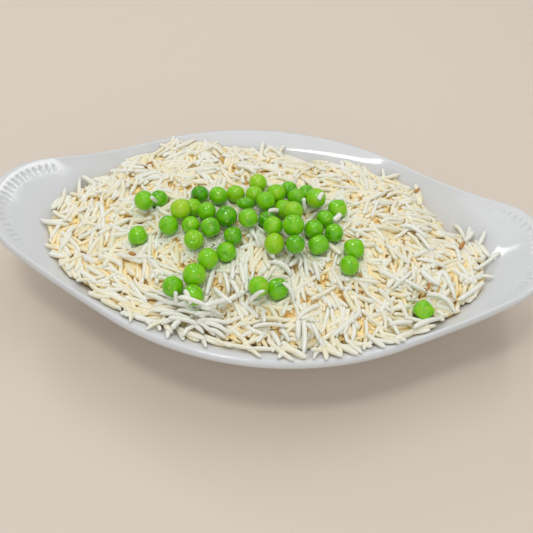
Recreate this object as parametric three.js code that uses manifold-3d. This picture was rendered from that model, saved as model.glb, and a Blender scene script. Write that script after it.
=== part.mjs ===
// An oval porcelain dish with an ear at each end, heaped with cooked basmati rice and garden peas.
// Millimetres, +Z up. X runs along the dish, Y across it, and z = 0 is the surface that the foot stands on.
import * as THREE from "three";
import { mergeVertices } from "three/addons/utils/BufferGeometryUtils.js";
import Module from "manifold-3d";

const wasm = await Module();
wasm.setup();

// The dish. Its outlines follow the middle of its wall.
const RIM_HALF_LENGTH = 125;
const RIM_HALF_WIDTH = 70;
const SIDE_RADIUS = 128;
const EAR_RADIUS = 33.6;
const RIM_HEIGHT = 38;
const EAR_START = 70; // distance from the middle at which the rim begins to rise
const EAR_RISE = 9.5;
const WALL = 4.2;
const WELL_HALF_LENGTH = 106; // oval edge where the wall turns out into the flared rim
const WELL_HALF_WIDTH = 62;
const WELL_DROP_SIDE = 3.5; // how far that edge lies below the rim
const WELL_DROP_EAR = 2;
const WELL_EDGE_ROUND = 6;
const FLOOR_HALF_LENGTH = 68;
const FLOOR_HALF_WIDTH = 33;
const FLOOR_HEIGHT = 5;
const FLOOR_FILLET = 13;
const FOOT_WIDTH = 5;
const FOOT_BEVEL = 0.8;
const FOOT_TOP = 4.2;
const FOOT_RECESS = 1.6;

// The heap of rice, whose centre lies a little towards the front.
const HEAP_CENTRE = { x: -0.5, y: -2.5 };
const HEAP_HALF_LENGTH = 104;
const HEAP_HALF_WIDTH = 62;
const HEAP_EDGE_HEIGHT = 35.4;
const HEAP_CROWN = 12;
const HEAP_POWER = 2.4;
const HEAP_SKIRT = 16; // how far the heap reaches past its edge before the dish cuts it off
// Banks (+) and hollows (-) in the heap: centre, reach along X and Y, and height.
const HEAP_SWELLS = [
  { x: -52, y: 57, reachX: 30, reachY: 11, height: 6.5 },
  { x: 92, y: 31, reachX: 12, reachY: 13, height: -26 },
  { x: 18, y: -64, reachX: 44, reachY: 11, height: 3.6 },
  { x: -62, y: 4, reachX: 24, reachY: 20, height: 1.8 },
  { x: 48, y: -22, reachX: 26, reachY: 16, height: 2.2 },
  { x: -28, y: -38, reachX: 16, reachY: 10, height: 3 },
  { x: 16, y: -30, reachX: 12, reachY: 12, height: -2 },
  { x: 46, y: 26, reachX: 18, reachY: 12, height: 1.5 },
];
const LUMP_HEIGHT = 0.9;
const LUMP_PITCH = 21;

const GAP = 0.3; // clearance between pieces that rest on each other
const PEA_SINK = 1.7; // how deep a pea settles among the grains

// Detail of the meshes
const EAR_STEPS = 6;
const NECK_STEPS = 4;
const SIDE_STEPS = 6;
const FILLET_STEPS = 3;
const EDGE_STEPS = 2;
const LIP_STEPS = 4;
const HEAP_STATIONS = 42;
const HEAP_RINGS = 11;

// The view in which the peas' places are given: a level picture 533 px square, seen from the front.
const VIEW = {
  centre: 266.5, // px, both ways
  focal: 750, // px
  distance: 344.9, // mm from the eye to the rim's plane, along the axis of view
  down: 0.868, // rad below level
  turn: -0.039, // rad, of the dish about Z
  roll: -0.072, // rad, of the eye
  right: -0.2, // mm, the dish's place in the picture plane
  up: 15.0,
};

// The peas: where each one's centre shows in that view (px), and its diameter (mm).
// long stretches a pea along one way, flat presses it, both as a share of the diameter.
const PEAS = [
  { px: 144.7, py: 200.4, size: 9.3 },
  { px: 158.5, py: 199.2, size: 8.6 },
  { px: 137.8, py: 236.2, size: 8.9, flat: 0.12 },
  { px: 168.8, py: 225.0, size: 8.9 },
  { px: 182.0, py: 210.0, size: 9.2 },
  { px: 192.3, py: 207.8, size: 8.8 },
  { px: 199.8, py: 194.6, size: 8.5 },
  { px: 218.7, py: 195.8, size: 8.4, long: 0.06 },
  { px: 235.4, py: 194.0, size: 8.4 },
  { px: 257.8, py: 183.7, size: 9.0 },
  { px: 191.2, py: 224.5, size: 8.3, long: 0.05 },
  { px: 206.7, py: 211.3, size: 8.7 },
  { px: 209.0, py: 227.3, size: 9.2, flat: 0.06 },
  { px: 226.2, py: 216.4, size: 9.9, flat: 0.05 },
  { px: 194.4, py: 239.4, size: 8.9, long: 0.04 },
  { px: 207.8, py: 259.0, size: 9.3 },
  { px: 226.2, py: 252.0, size: 8.7, long: 0.06 },
  { px: 233.0, py: 236.0, size: 8.7 },
  { px: 246.9, py: 203.8, size: 8.2, long: 0.16, flat: 0.1 },
  { px: 248.0, py: 217.6, size: 8.9, long: 0.04 },
  { px: 254.3, py: 194.6, size: 8.2 },
  { px: 267.0, py: 203.2, size: 8.7 },
  { px: 276.7, py: 193.5, size: 8.8 },
  { px: 288.2, py: 190.0, size: 8.2 },
  { px: 286.0, py: 205.0, size: 9.0 },
  { px: 295.7, py: 199.2, size: 8.1 },
  { px: 292.2, py: 211.8, size: 9.3 },
  { px: 267.5, py: 218.7, size: 8.6 },
  { px: 272.7, py: 226.8, size: 8.9 },
  { px: 293.4, py: 224.5, size: 9.8 },
  { px: 275.0, py: 242.8, size: 8.6, long: 0.12 },
  { px: 294.5, py: 244.0, size: 8.6 },
  { px: 194.6, py: 275.0, size: 10.2 },
  { px: 172.8, py: 286.5, size: 8.9 },
  { px: 193.5, py: 294.5, size: 8.6 },
  { px: 258.9, py: 286.5, size: 8.9 },
  { px: 277.3, py: 288.8, size: 9.9, flat: 0.04 },
  { px: 304.0, py: 194.6, size: 8.6 },
  { px: 315.6, py: 198.0, size: 9.4 },
  { px: 337.4, py: 209.0, size: 9.4 },
  { px: 325.3, py: 219.3, size: 8.2 },
  { px: 313.9, py: 229.6, size: 9.1, flat: 0.04 },
  { px: 334.0, py: 233.0, size: 8.5 },
  { px: 318.5, py: 244.6, size: 9.0, long: 0.1 },
  { px: 354.0, py: 249.0, size: 10.0, flat: 0.06 },
  { px: 349.5, py: 265.2, size: 8.3, long: 0.05 },
  { px: 423.5, py: 310.1, size: 9.4, flat: 0.12 },
];
const SETTLE_ROUNDS = 500;
const MOST_SINK = 2; // mm along its sight line that the rice lets a crowded pea go down

const porcelain = new THREE.MeshStandardMaterial({ color: 0xe4e4e6, roughness: 0.12, metalness: 0 });
const cookedRice = new THREE.MeshStandardMaterial({ color: 0xefe8cf, roughness: 0.5, metalness: 0 });
const peaSkin = new THREE.MeshStandardMaterial({ color: 0x5fa81c, roughness: 0.3, metalness: 0 });

const clamp = THREE.MathUtils.clamp;
const lerp = THREE.MathUtils.lerp;

// Points of the rim's outline in plan, anticlockwise from the right ear's tip: an ear arc,
// a straight neck that touches both arcs, and a side arc, mirrored into the other quarters.
function rimOutline() {
  const earX = RIM_HALF_LENGTH - EAR_RADIUS;
  const sideY = RIM_HALF_WIDTH - SIDE_RADIUS;
  const lean = Math.atan2(-sideY, earX);
  const touch = lean + Math.acos((SIDE_RADIUS - EAR_RADIUS) / Math.hypot(earX, sideY));
  const onEar = (angle) => new THREE.Vector2(earX, 0).add(polar(EAR_RADIUS, angle));
  const onSide = (angle) => new THREE.Vector2(0, sideY).add(polar(SIDE_RADIUS, angle));
  const quarter = [];
  for (let i = 0; i < EAR_STEPS; i++) quarter.push(onEar((touch * i) / EAR_STEPS));
  for (let i = 0; i < NECK_STEPS; i++) {
    quarter.push(onEar(touch).lerp(onSide(touch), i / NECK_STEPS));
  }
  for (let i = 0; i < SIDE_STEPS; i++) {
    quarter.push(onSide(lerp(touch, Math.PI / 2, i / SIDE_STEPS)));
  }
  const top = onSide(Math.PI / 2);
  const mirrored = quarter.slice(1).reverse().map((p) => new THREE.Vector2(-p.x, p.y));
  const half = [...quarter, top, ...mirrored];
  return [...half, ...half.map((p) => new THREE.Vector2(-p.x, -p.y))];
}

function polar(radius, angle) {
  return new THREE.Vector2(Math.cos(angle), Math.sin(angle)).multiplyScalar(radius);
}

// The three rings that shape the wall, at one point of the outline: floor edge, well edge and rim.
function wallRings(outlinePoint) {
  const phase = Math.atan2(outlinePoint.y / RIM_HALF_WIDTH, outlinePoint.x / RIM_HALF_LENGTH);
  const oval = (halfLength, halfWidth, z) =>
    new THREE.Vector3(halfLength * Math.cos(phase), halfWidth * Math.sin(phase), z);
  const drop = lerp(WELL_DROP_SIDE, WELL_DROP_EAR, Math.cos(phase) ** 2);
  const earShare = clamp(
    (Math.abs(outlinePoint.x) - EAR_START) / (RIM_HALF_LENGTH - EAR_START), 0, 1);
  return {
    floor: oval(FLOOR_HALF_LENGTH, FLOOR_HALF_WIDTH, FLOOR_HEIGHT),
    well: oval(WELL_HALF_LENGTH, WELL_HALF_WIDTH, RIM_HEIGHT - drop),
    rim: new THREE.Vector3(outlinePoint.x, outlinePoint.y, RIM_HEIGHT + EAR_RISE * earShare ** 2),
  };
}

// The upward normal of the band from one ring point to the next one out.
function bandNormal(inner, outer) {
  const rise = outer.clone().sub(inner);
  const run = Math.hypot(rise.x, rise.y);
  return new THREE.Vector3((-rise.x * rise.z) / run, (-rise.y * rise.z) / run, run).normalize();
}

// A corner moved off the wall's middle by a distance, so that both bands stay parallel to it.
function offCorner(point, normalA, normalB, distance) {
  const sum = normalA.clone().add(normalB);
  return point.clone().addScaledVector(sum, distance / (1 + normalA.dot(normalB)));
}

// Points of a rounded corner: a curve that leaves each leg at the given distance from the corner.
function roundCorner(before, corner, after, distance, steps) {
  const start = corner.clone().add(before.clone().sub(corner).setLength(distance));
  const end = corner.clone().add(after.clone().sub(corner).setLength(distance));
  return new THREE.QuadraticBezierCurve3(start, corner, end).getPoints(steps);
}

// The inner face at one station, from the floor's edge up to the rim, at a distance from the wall's middle.
function innerFace(rings, distance) {
  const up = new THREE.Vector3(0, 0, 1);
  const wallNormal = bandNormal(rings.floor, rings.well);
  const flareNormal = bandNormal(rings.well, rings.rim);
  const floorCorner = offCorner(rings.floor, up, wallNormal, distance);
  const wellCorner = offCorner(rings.well, wallNormal, flareNormal, distance);
  const rimEnd = rings.rim.clone().addScaledVector(flareNormal, distance);
  const floorEnd = new THREE.Vector3(0, 0, floorCorner.z);
  return [
    ...roundCorner(floorEnd, floorCorner, wellCorner, FLOOR_FILLET, FILLET_STEPS),
    ...roundCorner(floorCorner, wellCorner, rimEnd, WELL_EDGE_ROUND * 0.6, EDGE_STEPS),
    rimEnd,
  ];
}

// The whole section at one station: inner face, round lip, outer face and foot ring.
function dishSection(rings) {
  const half = WALL / 2;
  const wallNormal = bandNormal(rings.floor, rings.well);
  const flareNormal = bandNormal(rings.well, rings.rim);
  const flareOut = rings.rim.clone().sub(rings.well).normalize();
  const section = innerFace(rings, half);
  for (let i = 1; i <= LIP_STEPS; i++) {
    const angle = (Math.PI * i) / LIP_STEPS;
    section.push(
      rings.rim.clone()
        .addScaledVector(flareNormal, half * Math.cos(angle))
        .addScaledVector(flareOut, half * Math.sin(angle)));
  }
  const wellCorner = offCorner(rings.well, wallNormal, flareNormal, -half);
  const wallFoot = rings.floor.clone().addScaledVector(wallNormal, -half);
  const footTop = wellCorner.clone().lerp(
    wallFoot, (wellCorner.z - FOOT_TOP) / (wellCorner.z - wallFoot.z));
  const inward = new THREE.Vector3(-footTop.x, -footTop.y, 0).normalize();
  const footPoint = (inset, z) => footTop.clone().addScaledVector(inward, inset).setZ(z);
  const lipEnd = section[section.length - 1];
  section.push(
    ...roundCorner(lipEnd, wellCorner, footTop, WELL_EDGE_ROUND * 0.6, EDGE_STEPS),
    footTop,
    footPoint(FOOT_BEVEL, FOOT_BEVEL),
    footPoint(FOOT_BEVEL * 2, 0),
    footPoint(FOOT_WIDTH, 0),
    footPoint(FOOT_WIDTH + FOOT_RECESS, FOOT_RECESS));
  return section;
}

// A closed mesh from sections that stand around the Z axis, each running from the top centre outwards,
// and back to the bottom centre.
function loftSections(sections, topZ, bottomZ) {
  const count = sections[0].length;
  const positions = [0, 0, topZ, 0, 0, bottomZ];
  for (const section of sections) for (const p of section) positions.push(p.x, p.y, p.z);
  const index = [];
  sections.forEach((_, station) => {
    const here = 2 + station * count;
    const next = 2 + ((station + 1) % sections.length) * count;
    index.push(0, here, next);
    for (let i = 0; i < count - 1; i++) {
      index.push(here + i, here + i + 1, next + i + 1, here + i, next + i + 1, next + i);
    }
    index.push(1, next + count - 1, here + count - 1);
  });
  const geometry = new THREE.BufferGeometry();
  geometry.setAttribute("position", new THREE.Float32BufferAttribute(positions, 3));
  geometry.setIndex(index);
  return geometry;
}

function dishGeometry(stations) {
  const sections = stations.map((p) => dishSection(wallRings(p)));
  return loftSections(sections, FLOOR_HEIGHT + WALL / 2, FOOT_RECESS);
}

// The space inside the dish, kept clear of its inner face, and closed by a lid high above the rim.
function cavityGeometry(stations) {
  const lidZ = RIM_HEIGHT + 60;
  const clear = WALL / 2 + GAP;
  const sections = stations.map((p) => {
    const face = innerFace(wallRings(p), clear);
    const top = face[face.length - 1].clone().setZ(lidZ);
    return [top, ...face.reverse()];
  });
  return loftSections(sections, lidZ, FLOOR_HEIGHT + clear);
}

// How far out a point lies in the heap: 0 at its centre, 1 at its edge.
function heapShare(x, y) {
  return Math.hypot((x - HEAP_CENTRE.x) / HEAP_HALF_LENGTH, (y - HEAP_CENTRE.y) / HEAP_HALF_WIDTH);
}

// Height of the heap's top: a dome with banks, hollows and small lumps.
function heapHeight(x, y) {
  const dome = HEAP_EDGE_HEIGHT + HEAP_CROWN * (1 - heapShare(x, y) ** HEAP_POWER);
  const lump = (2 * Math.PI) / LUMP_PITCH;
  const lumps = LUMP_HEIGHT * Math.sin(lump * (x + 0.4 * y)) * Math.sin(lump * (y - 0.3 * x) + 1);
  return HEAP_SWELLS.reduce((z, swell) => {
    const away = ((x - swell.x) / swell.reachX) ** 2 + ((y - swell.y) / swell.reachY) ** 2;
    return z + swell.height * Math.exp(-away);
  }, dome + lumps);
}

// A solid under the heap's top, wider and deeper than the well, which the dish's cavity then cuts.
function heapGeometry() {
  const bottomZ = 0;
  const sections = [];
  for (let station = 0; station < HEAP_STATIONS; station++) {
    const angle = (2 * Math.PI * station) / HEAP_STATIONS;
    const section = [];
    for (let ring = 1; ring <= HEAP_RINGS; ring++) {
      const share = ring / HEAP_RINGS;
      const x = HEAP_CENTRE.x + (HEAP_HALF_LENGTH + HEAP_SKIRT) * share * Math.cos(angle);
      const y = HEAP_CENTRE.y + (HEAP_HALF_WIDTH + HEAP_SKIRT) * share * Math.sin(angle);
      section.push(new THREE.Vector3(x, y, Math.max(heapHeight(x, y), bottomZ + 1)));
    }
    const rim = section[section.length - 1];
    section.push(new THREE.Vector3(rim.x, rim.y, bottomZ));
    sections.push(section);
  }
  return loftSections(sections, heapHeight(0, 0), bottomZ);
}

function toSolid(geometry) {
  const bare = geometry.clone();
  bare.deleteAttribute("normal");
  bare.deleteAttribute("uv");
  const merged = mergeVertices(bare, 1e-4);
  return new wasm.Manifold(new wasm.Mesh({
    numProp: 3,
    vertProperties: merged.attributes.position.array,
    triVerts: new Uint32Array(merged.index.array),
  }));
}

function toGeometry(solid) {
  const mesh = solid.getMesh();
  const geometry = new THREE.BufferGeometry();
  geometry.setAttribute("position", new THREE.BufferAttribute(mesh.vertProperties, 3));
  geometry.setIndex(new THREE.BufferAttribute(mesh.triVerts, 1));
  return geometry;
}

// The eye's place and the direction through a point of the view, in the part's frame.
function sightLine(px, py) {
  const spin = new THREE.Vector2(px - VIEW.centre, VIEW.centre - py)
    .rotateAround(new THREE.Vector2(), -VIEW.roll);
  const right = new THREE.Vector3(1, 0, 0);
  const up = new THREE.Vector3(0, Math.sin(VIEW.down), Math.cos(VIEW.down));
  const back = new THREE.Vector3(0, -Math.cos(VIEW.down), Math.sin(VIEW.down));
  const eye = back.clone().multiplyScalar(VIEW.distance)
    .addScaledVector(right, -VIEW.right)
    .addScaledVector(up, -VIEW.up);
  const along = back.clone().negate()
    .addScaledVector(right, spin.x / VIEW.focal)
    .addScaledVector(up, spin.y / VIEW.focal)
    .normalize();
  const axis = new THREE.Vector3(0, 0, 1);
  eye.applyAxisAngle(axis, -VIEW.turn).add(new THREE.Vector3(0, 0, RIM_HEIGHT));
  along.applyAxisAngle(axis, -VIEW.turn);
  return { eye, along };
}

// Distance along a sight line at which a pea of the given radius rests on the heap.
function restDistance(line, radius) {
  let near = VIEW.distance / 2;
  let far = VIEW.distance * 1.5;
  for (let i = 0; i < 40; i++) {
    const middle = (near + far) / 2;
    const p = line.eye.clone().addScaledVector(line.along, middle);
    if (p.z > heapHeight(p.x, p.y) + radius - PEA_SINK) near = middle;
    else far = middle;
  }
  return (near + far) / 2;
}

// Largest half size of a pea, which keeps its neighbours off.
function reach(pea) {
  return (pea.size / 2) * (1 + Math.max(pea.long ?? 0, 0));
}

// Peas that would run into each other move apart, mostly along their sight lines, so that each keeps
// its place in the view: the nearer one climbs, and the farther one sinks between the grains.
function settlePeas() {
  const sideShare = 0.3;
  const lines = PEAS.map((pea) => sightLine(pea.px, pea.py));
  const rest = PEAS.map((pea, i) => restDistance(lines[i], pea.size / 2));
  const onLine = (i, distance) => lines[i].eye.clone().addScaledVector(lines[i].along, distance);
  const along = (i) => places[i].clone().sub(lines[i].eye).dot(lines[i].along);
  const places = rest.map((distance, i) => onLine(i, distance));
  for (let round = 0; round < SETTLE_ROUNDS; round++) {
    for (let i = 0; i < PEAS.length; i++) {
      for (let j = i + 1; j < PEAS.length; j++) {
        const apart = places[j].clone().sub(places[i]);
        const need = reach(PEAS[i]) + reach(PEAS[j]) + GAP;
        if (apart.lengthSq() >= need * need) continue;
        const push = 0.4 * (need - apart.length());
        const nearer = along(i) < along(j) ? i : j;
        const farther = i + j - nearer;
        apart.setLength(sideShare * push);
        places[i].sub(apart);
        places[j].add(apart);
        places[nearer].addScaledVector(lines[nearer].along, (sideShare - 1) * push);
        places[farther].addScaledVector(lines[farther].along, (1 - sideShare) * push);
      }
    }
    places.forEach((place, i) => {
      const distance = Math.min(lerp(along(i), rest[i], 0.004), rest[i] + MOST_SINK);
      place.addScaledVector(lines[i].along, distance - along(i));
      place.lerp(onLine(i, distance), 0.02);
    });
  }
  return places;
}

// A pea: a ball pressed flat by a little from one side, or drawn out to an oval, turned its own way.
function peaGeometry(pea, number) {
  const geometry = new THREE.IcosahedronGeometry(pea.size / 2, 1);
  const stretch = 1 + (pea.long ?? 0);
  geometry.scale(stretch, 1, 1 - (pea.flat ?? 0));
  geometry.rotateX(0.3 * Math.sin(number * 2.4));
  geometry.rotateZ(number * 2.4);
  return geometry;
}

function named(name, geometry, material) {
  const mesh = new THREE.Mesh(geometry, material);
  mesh.name = name;
  return mesh;
}

// A dent for a pea to rest in: a coarser ball around it, so its flat faces clear the pea.
function seatGeometry(pea, place) {
  const inscribed = 0.795; // an icosahedron's inner radius as a share of its outer one
  return new THREE.IcosahedronGeometry((reach(pea) + GAP) / inscribed, 0)
    .translate(place.x, place.y, place.z);
}

const part = new THREE.Group();
const stations = rimOutline();
part.add(named("dish", dishGeometry(stations), porcelain));

let rice = toSolid(heapGeometry()).intersect(toSolid(cavityGeometry(stations)));
settlePeas().forEach((place, i) => {
  const pea = PEAS[i];
  const mesh = named("pea_" + String(i + 1).padStart(2, "0"), peaGeometry(pea, i + 1), peaSkin);
  mesh.position.copy(place);
  part.add(mesh);
  rice = rice.subtract(toSolid(seatGeometry(pea, place)));
});
part.add(named("rice", toGeometry(rice), cookedRice));

export default part;
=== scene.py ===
"""Plate of basmati rice: a white oval dish with two ears, heaped with boiled rice, peas and cumin seeds.

Blender works in metres. The sizes in this file are in millimetres, and MM turns them to metres where
a mesh, a light or the camera is made. X runs along the dish, Y away from the viewer and Z up.
"""

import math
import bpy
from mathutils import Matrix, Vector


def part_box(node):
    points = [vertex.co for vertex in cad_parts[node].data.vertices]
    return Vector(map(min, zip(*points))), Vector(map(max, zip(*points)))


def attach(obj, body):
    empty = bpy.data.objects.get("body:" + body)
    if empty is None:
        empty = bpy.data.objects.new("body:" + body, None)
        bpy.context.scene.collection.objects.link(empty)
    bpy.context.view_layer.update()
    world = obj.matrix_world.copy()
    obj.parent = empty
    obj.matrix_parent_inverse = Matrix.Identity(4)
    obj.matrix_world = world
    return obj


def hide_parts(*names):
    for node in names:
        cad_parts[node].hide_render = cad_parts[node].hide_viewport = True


bl_info = {
    "name": "Plate of basmati rice",
    "version": (1, 0, 0),
    "blender": (4, 5, 0),
    "location": "3D View > Sidebar > Basmati",
    "description": "Builds a dish of boiled basmati rice with peas around its packed model",
    "category": "Add Mesh",
}

import bmesh
import bpy
import numpy as np
from bpy.props import FloatProperty, FloatVectorProperty, IntProperty, PointerProperty
from mathutils import Matrix, Vector
from mathutils.bvhtree import BVHTree

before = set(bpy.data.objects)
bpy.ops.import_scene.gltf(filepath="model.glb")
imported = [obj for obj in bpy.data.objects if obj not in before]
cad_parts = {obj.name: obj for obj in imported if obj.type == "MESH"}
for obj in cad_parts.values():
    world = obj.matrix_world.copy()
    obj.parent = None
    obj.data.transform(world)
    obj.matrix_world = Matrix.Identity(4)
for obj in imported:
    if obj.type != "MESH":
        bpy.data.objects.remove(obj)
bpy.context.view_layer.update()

MM = 0.001
BODY = "root"

# ---------------------------------------------------------------- sizes of the dish, as in the frame
WALL = 4.2
DISH_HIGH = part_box("dish")[1] / MM
RIM_HALF_LENGTH = round(DISH_HIGH.x - WALL / 2)  # to the middle of the wall
RIM_HALF_WIDTH = round(DISH_HIGH.y - WALL / 2)
SIDE_RADIUS = 128
EAR_RADIUS = 33.6
RIM_HEIGHT = 38
EAR_START = 70  # distance from the middle at which the rim begins to rise
EAR_RISE = 9.5
WELL_HALF_LENGTH = 106
WELL_HALF_WIDTH = 62
WELL_DROP_SIDE = 3.5
WELL_DROP_EAR = 2
WELL_EDGE_ROUND = 3.6
FLOOR_HALF_LENGTH = 68
FLOOR_HALF_WIDTH = 33
FLOOR_HEIGHT = 5
FLOOR_FILLET = 13
FOOT_WIDTH = 5
FOOT_BEVEL = 0.8
FOOT_TOP = 4.2
FOOT_RECESS = 1.6
FLUTE_PITCH_DEGREES = 6  # from one flute of an ear to the next, about the ear's centre
FLUTE_HALF_COUNT = 11  # flutes on each side of an ear's tip
FADING_FLUTES = 3  # of them, those that grow shallow towards the end of the row

# ---------------------------------------------------------------- the view of the photograph
PICTURE_SIZE = 533  # px, both ways
PICTURE_CENTRE = PICTURE_SIZE / 2
FOCAL = 750  # px
EYE_DISTANCE = 344.9  # from the eye to the rim's plane, along the axis of view
EYE_DOWN = 0.868  # rad below level
DISH_TURN = -0.039  # rad, of the dish about Z
EYE_ROLL = -0.072  # rad
EYE_SHIFT = (-0.2, 15.0)  # the dish's place in the picture plane, right and up
SENSOR = 36  # mm, the width of the camera's sensor, which is free to choose


def camera_frame():
    """The eye's place (mm) and its right, up and back axes, in the dish's frame."""
    right = Vector((1, 0, 0))
    up = Vector((0, math.sin(EYE_DOWN), math.cos(EYE_DOWN)))
    back = Vector((0, -math.cos(EYE_DOWN), math.sin(EYE_DOWN)))
    eye = back * EYE_DISTANCE - right * EYE_SHIFT[0] - up * EYE_SHIFT[1]
    cos, sin = math.cos(EYE_ROLL), math.sin(EYE_ROLL)
    turn = Matrix.Rotation(-DISH_TURN, 3, "Z")
    axes = (cos * right - sin * up, sin * right + cos * up, back)
    return turn @ eye + Vector((0, 0, RIM_HEIGHT)), [turn @ axis for axis in axes]


EYE, (EYE_RIGHT, EYE_UP, EYE_BACK) = camera_frame()


def sight(px, py):
    """The direction from the eye through a point of the picture."""
    right = (px - PICTURE_CENTRE) / FOCAL
    up = (PICTURE_CENTRE - py) / FOCAL
    return (EYE_RIGHT * right + EYE_UP * up - EYE_BACK).normalized()


# ---------------------------------------------------------------- small helpers
def lerp(a, b, share):
    return a + (b - a) * share


def unit(vectors):
    """Rows of vectors at length 1."""
    return vectors / np.linalg.norm(vectors, axis=-1, keepdims=True)


def linear(hex_colour):
    """An sRGB hex colour, such as "#F3EFE4", as linear red, green and blue."""
    channels = [int(hex_colour[i : i + 2], 16) / 255 for i in (1, 3, 5)]
    return tuple(c / 12.92 if c <= 0.04045 else ((c + 0.055) / 1.055) ** 2.4 for c in channels)


def add(tree, kind, links=None, **options):
    """Add a node with its settings. links gives inputs a socket, a node (its first output) or a value.

    Inputs 1 and 2 of a Map Range node are the ends of the range it reads, and 3 and 4 those of the
    range it gives. Inputs 6 and 7 and output 2 of a Mix node are its colours."""
    node = tree.nodes.new(kind)
    for name, value in options.items():
        setattr(node, name, value)
    for name, source in (links or {}).items():
        if isinstance(source, bpy.types.Node):
            source = source.outputs[0]
        if isinstance(source, bpy.types.NodeSocket):
            tree.links.new(source, node.inputs[name])
        else:
            node.inputs[name].default_value = source
    return node


def colour_property(name, description, hex_colour):
    return FloatVectorProperty(
        name=name, description=description, subtype="COLOR", size=3, min=0, max=1,
        default=linear(hex_colour))


def length_property(name, description, millimetres):
    return FloatProperty(
        name=name, description=description, unit="LENGTH", min=0, precision=5,
        default=millimetres * MM)


def settings():
    return bpy.context.scene.basmati


def new_mesh(name, points, faces):
    """An object with a smooth mesh. Its points are in millimetres."""
    mesh = bpy.data.meshes.new(name)
    mesh.from_pydata((np.asarray(points) * MM).tolist(), [], faces)
    mesh.shade_smooth()
    obj = bpy.data.objects.new(name, mesh)
    bpy.context.scene.collection.objects.link(obj)
    return obj


def set_attribute(obj, name, kind, values):
    """Store one value for each point of a mesh."""
    key = "vector" if kind == "FLOAT_VECTOR" else "value"
    layer = obj.data.attributes.new(name, kind, "POINT")
    layer.data.foreach_set(key, np.asarray(values, np.float32).ravel())


def finish_piece(obj, nodes):
    """Put a finished piece on the frame's body, in the place of the CAD nodes it stands for."""
    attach(obj, BODY)
    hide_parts(*nodes)
    return obj


def bake_nodes(obj, tree, inputs, name):
    """Run a Geometry Nodes tree on an object and return its result as a plain mesh object."""
    modifier = obj.modifiers.new("nodes", "NODES")
    modifier.node_group = tree
    for item in tree.interface.items_tree:
        if item.item_type == "SOCKET" and item.in_out == "INPUT" and item.name in inputs:
            modifier[item.identifier] = inputs[item.name]
    bpy.context.view_layer.update()
    graph = bpy.context.evaluated_depsgraph_get()
    mesh = bpy.data.meshes.new_from_object(obj.evaluated_get(graph))
    old = obj.data
    obj.modifiers.remove(modifier)
    obj.data = mesh
    obj.name = name
    mesh.name = name
    bpy.data.meshes.remove(old)
    return obj


def new_tree(name, sockets):
    """A Geometry Nodes tree with a geometry input and output and named inputs of its own, and the
    sockets that give those inputs inside it."""
    tree = bpy.data.node_groups.new(name, "GeometryNodeTree")
    tree.interface.new_socket("Geometry", in_out="INPUT", socket_type="NodeSocketGeometry")
    tree.interface.new_socket("Geometry", in_out="OUTPUT", socket_type="NodeSocketGeometry")
    for socket, kind in sockets.items():
        tree.interface.new_socket(socket, in_out="INPUT", socket_type=kind)
    return tree, add(tree, "NodeGroupInput").outputs


def end_tree(tree, geometry, material):
    """End a tree in Realize Instances and Set Material."""
    real = add(tree, "GeometryNodeRealizeInstances", {"Geometry": geometry})
    smooth = add(tree, "GeometryNodeSetShadeSmooth", {"Geometry": real})
    dressed = add(tree, "GeometryNodeSetMaterial", {"Geometry": smooth, "Material": material})
    add(tree, "NodeGroupOutput", {"Geometry": dressed})


# ---------------------------------------------------------------- the dish
# Steps along each part of a quarter of the outline.
EAR_STATIONS = 96
NECK_STATIONS = 14
SIDE_STATIONS = 40
# Rings across each part of the section.
FLOOR_SHARES = (0.35, 0.7)  # where the floor's rings lie on the way from its middle to the fillet
FILLET_STEPS = 10
WALL_STEPS = 8
EDGE_STEPS = 6
FLARE_STEPS = 34  # fine enough for the flutes
LIP_STEPS = 12
OUTER_FLARE_STEPS = 6


def arc(centre, radius, start, end, steps):
    angles = np.linspace(start, end, steps + 1)
    return np.column_stack([centre[0] + radius * np.cos(angles), centre[1] + radius * np.sin(angles)])


def rim_outline():
    """The rim in plan: in each quarter an ear arc, a straight neck that touches both arcs, a side arc."""
    ear_x = RIM_HALF_LENGTH - EAR_RADIUS
    side_y = RIM_HALF_WIDTH - SIDE_RADIUS
    lean = math.atan2(-side_y, ear_x)
    touch = lean + math.acos((SIDE_RADIUS - EAR_RADIUS) / math.hypot(ear_x, side_y))
    ear = arc((ear_x, 0), EAR_RADIUS, 0, touch, EAR_STATIONS)
    side = arc((0, side_y), SIDE_RADIUS, touch, math.pi / 2, SIDE_STATIONS)
    shares = np.linspace(0, 1, NECK_STATIONS + 1)[1:-1, None]
    quarter = np.vstack([ear, lerp(ear[-1], side[0], shares), side])
    half = np.vstack([quarter, quarter[-2:0:-1] * (-1, 1)])
    return np.vstack([half, -half])


def wall_rings(outline):
    """The three rings that shape the wall: floor edge, well edge and rim."""
    phase = np.arctan2(outline[:, 1] / RIM_HALF_WIDTH, outline[:, 0] / RIM_HALF_LENGTH)
    around = np.column_stack([np.cos(phase), np.sin(phase)])
    drop = lerp(WELL_DROP_SIDE, WELL_DROP_EAR, np.cos(phase) ** 2)
    ear_share = np.clip((abs(outline[:, 0]) - EAR_START) / (RIM_HALF_LENGTH - EAR_START), 0, 1)
    floor = around * (FLOOR_HALF_LENGTH, FLOOR_HALF_WIDTH)
    well = around * (WELL_HALF_LENGTH, WELL_HALF_WIDTH)
    floor_z = np.full(len(outline), FLOOR_HEIGHT)
    return (
        np.column_stack([floor, floor_z]),
        np.column_stack([well, RIM_HEIGHT - drop]),
        np.column_stack([outline, RIM_HEIGHT + EAR_RISE * ear_share**2]),
    )


def band_normal(inner, outer):
    """The upward normals of the band from one ring to the next one out."""
    rise = outer - inner
    run = np.hypot(rise[:, 0], rise[:, 1])
    return unit(np.column_stack([-rise[:, 0] * rise[:, 2] / run, -rise[:, 1] * rise[:, 2] / run, run]))


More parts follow.
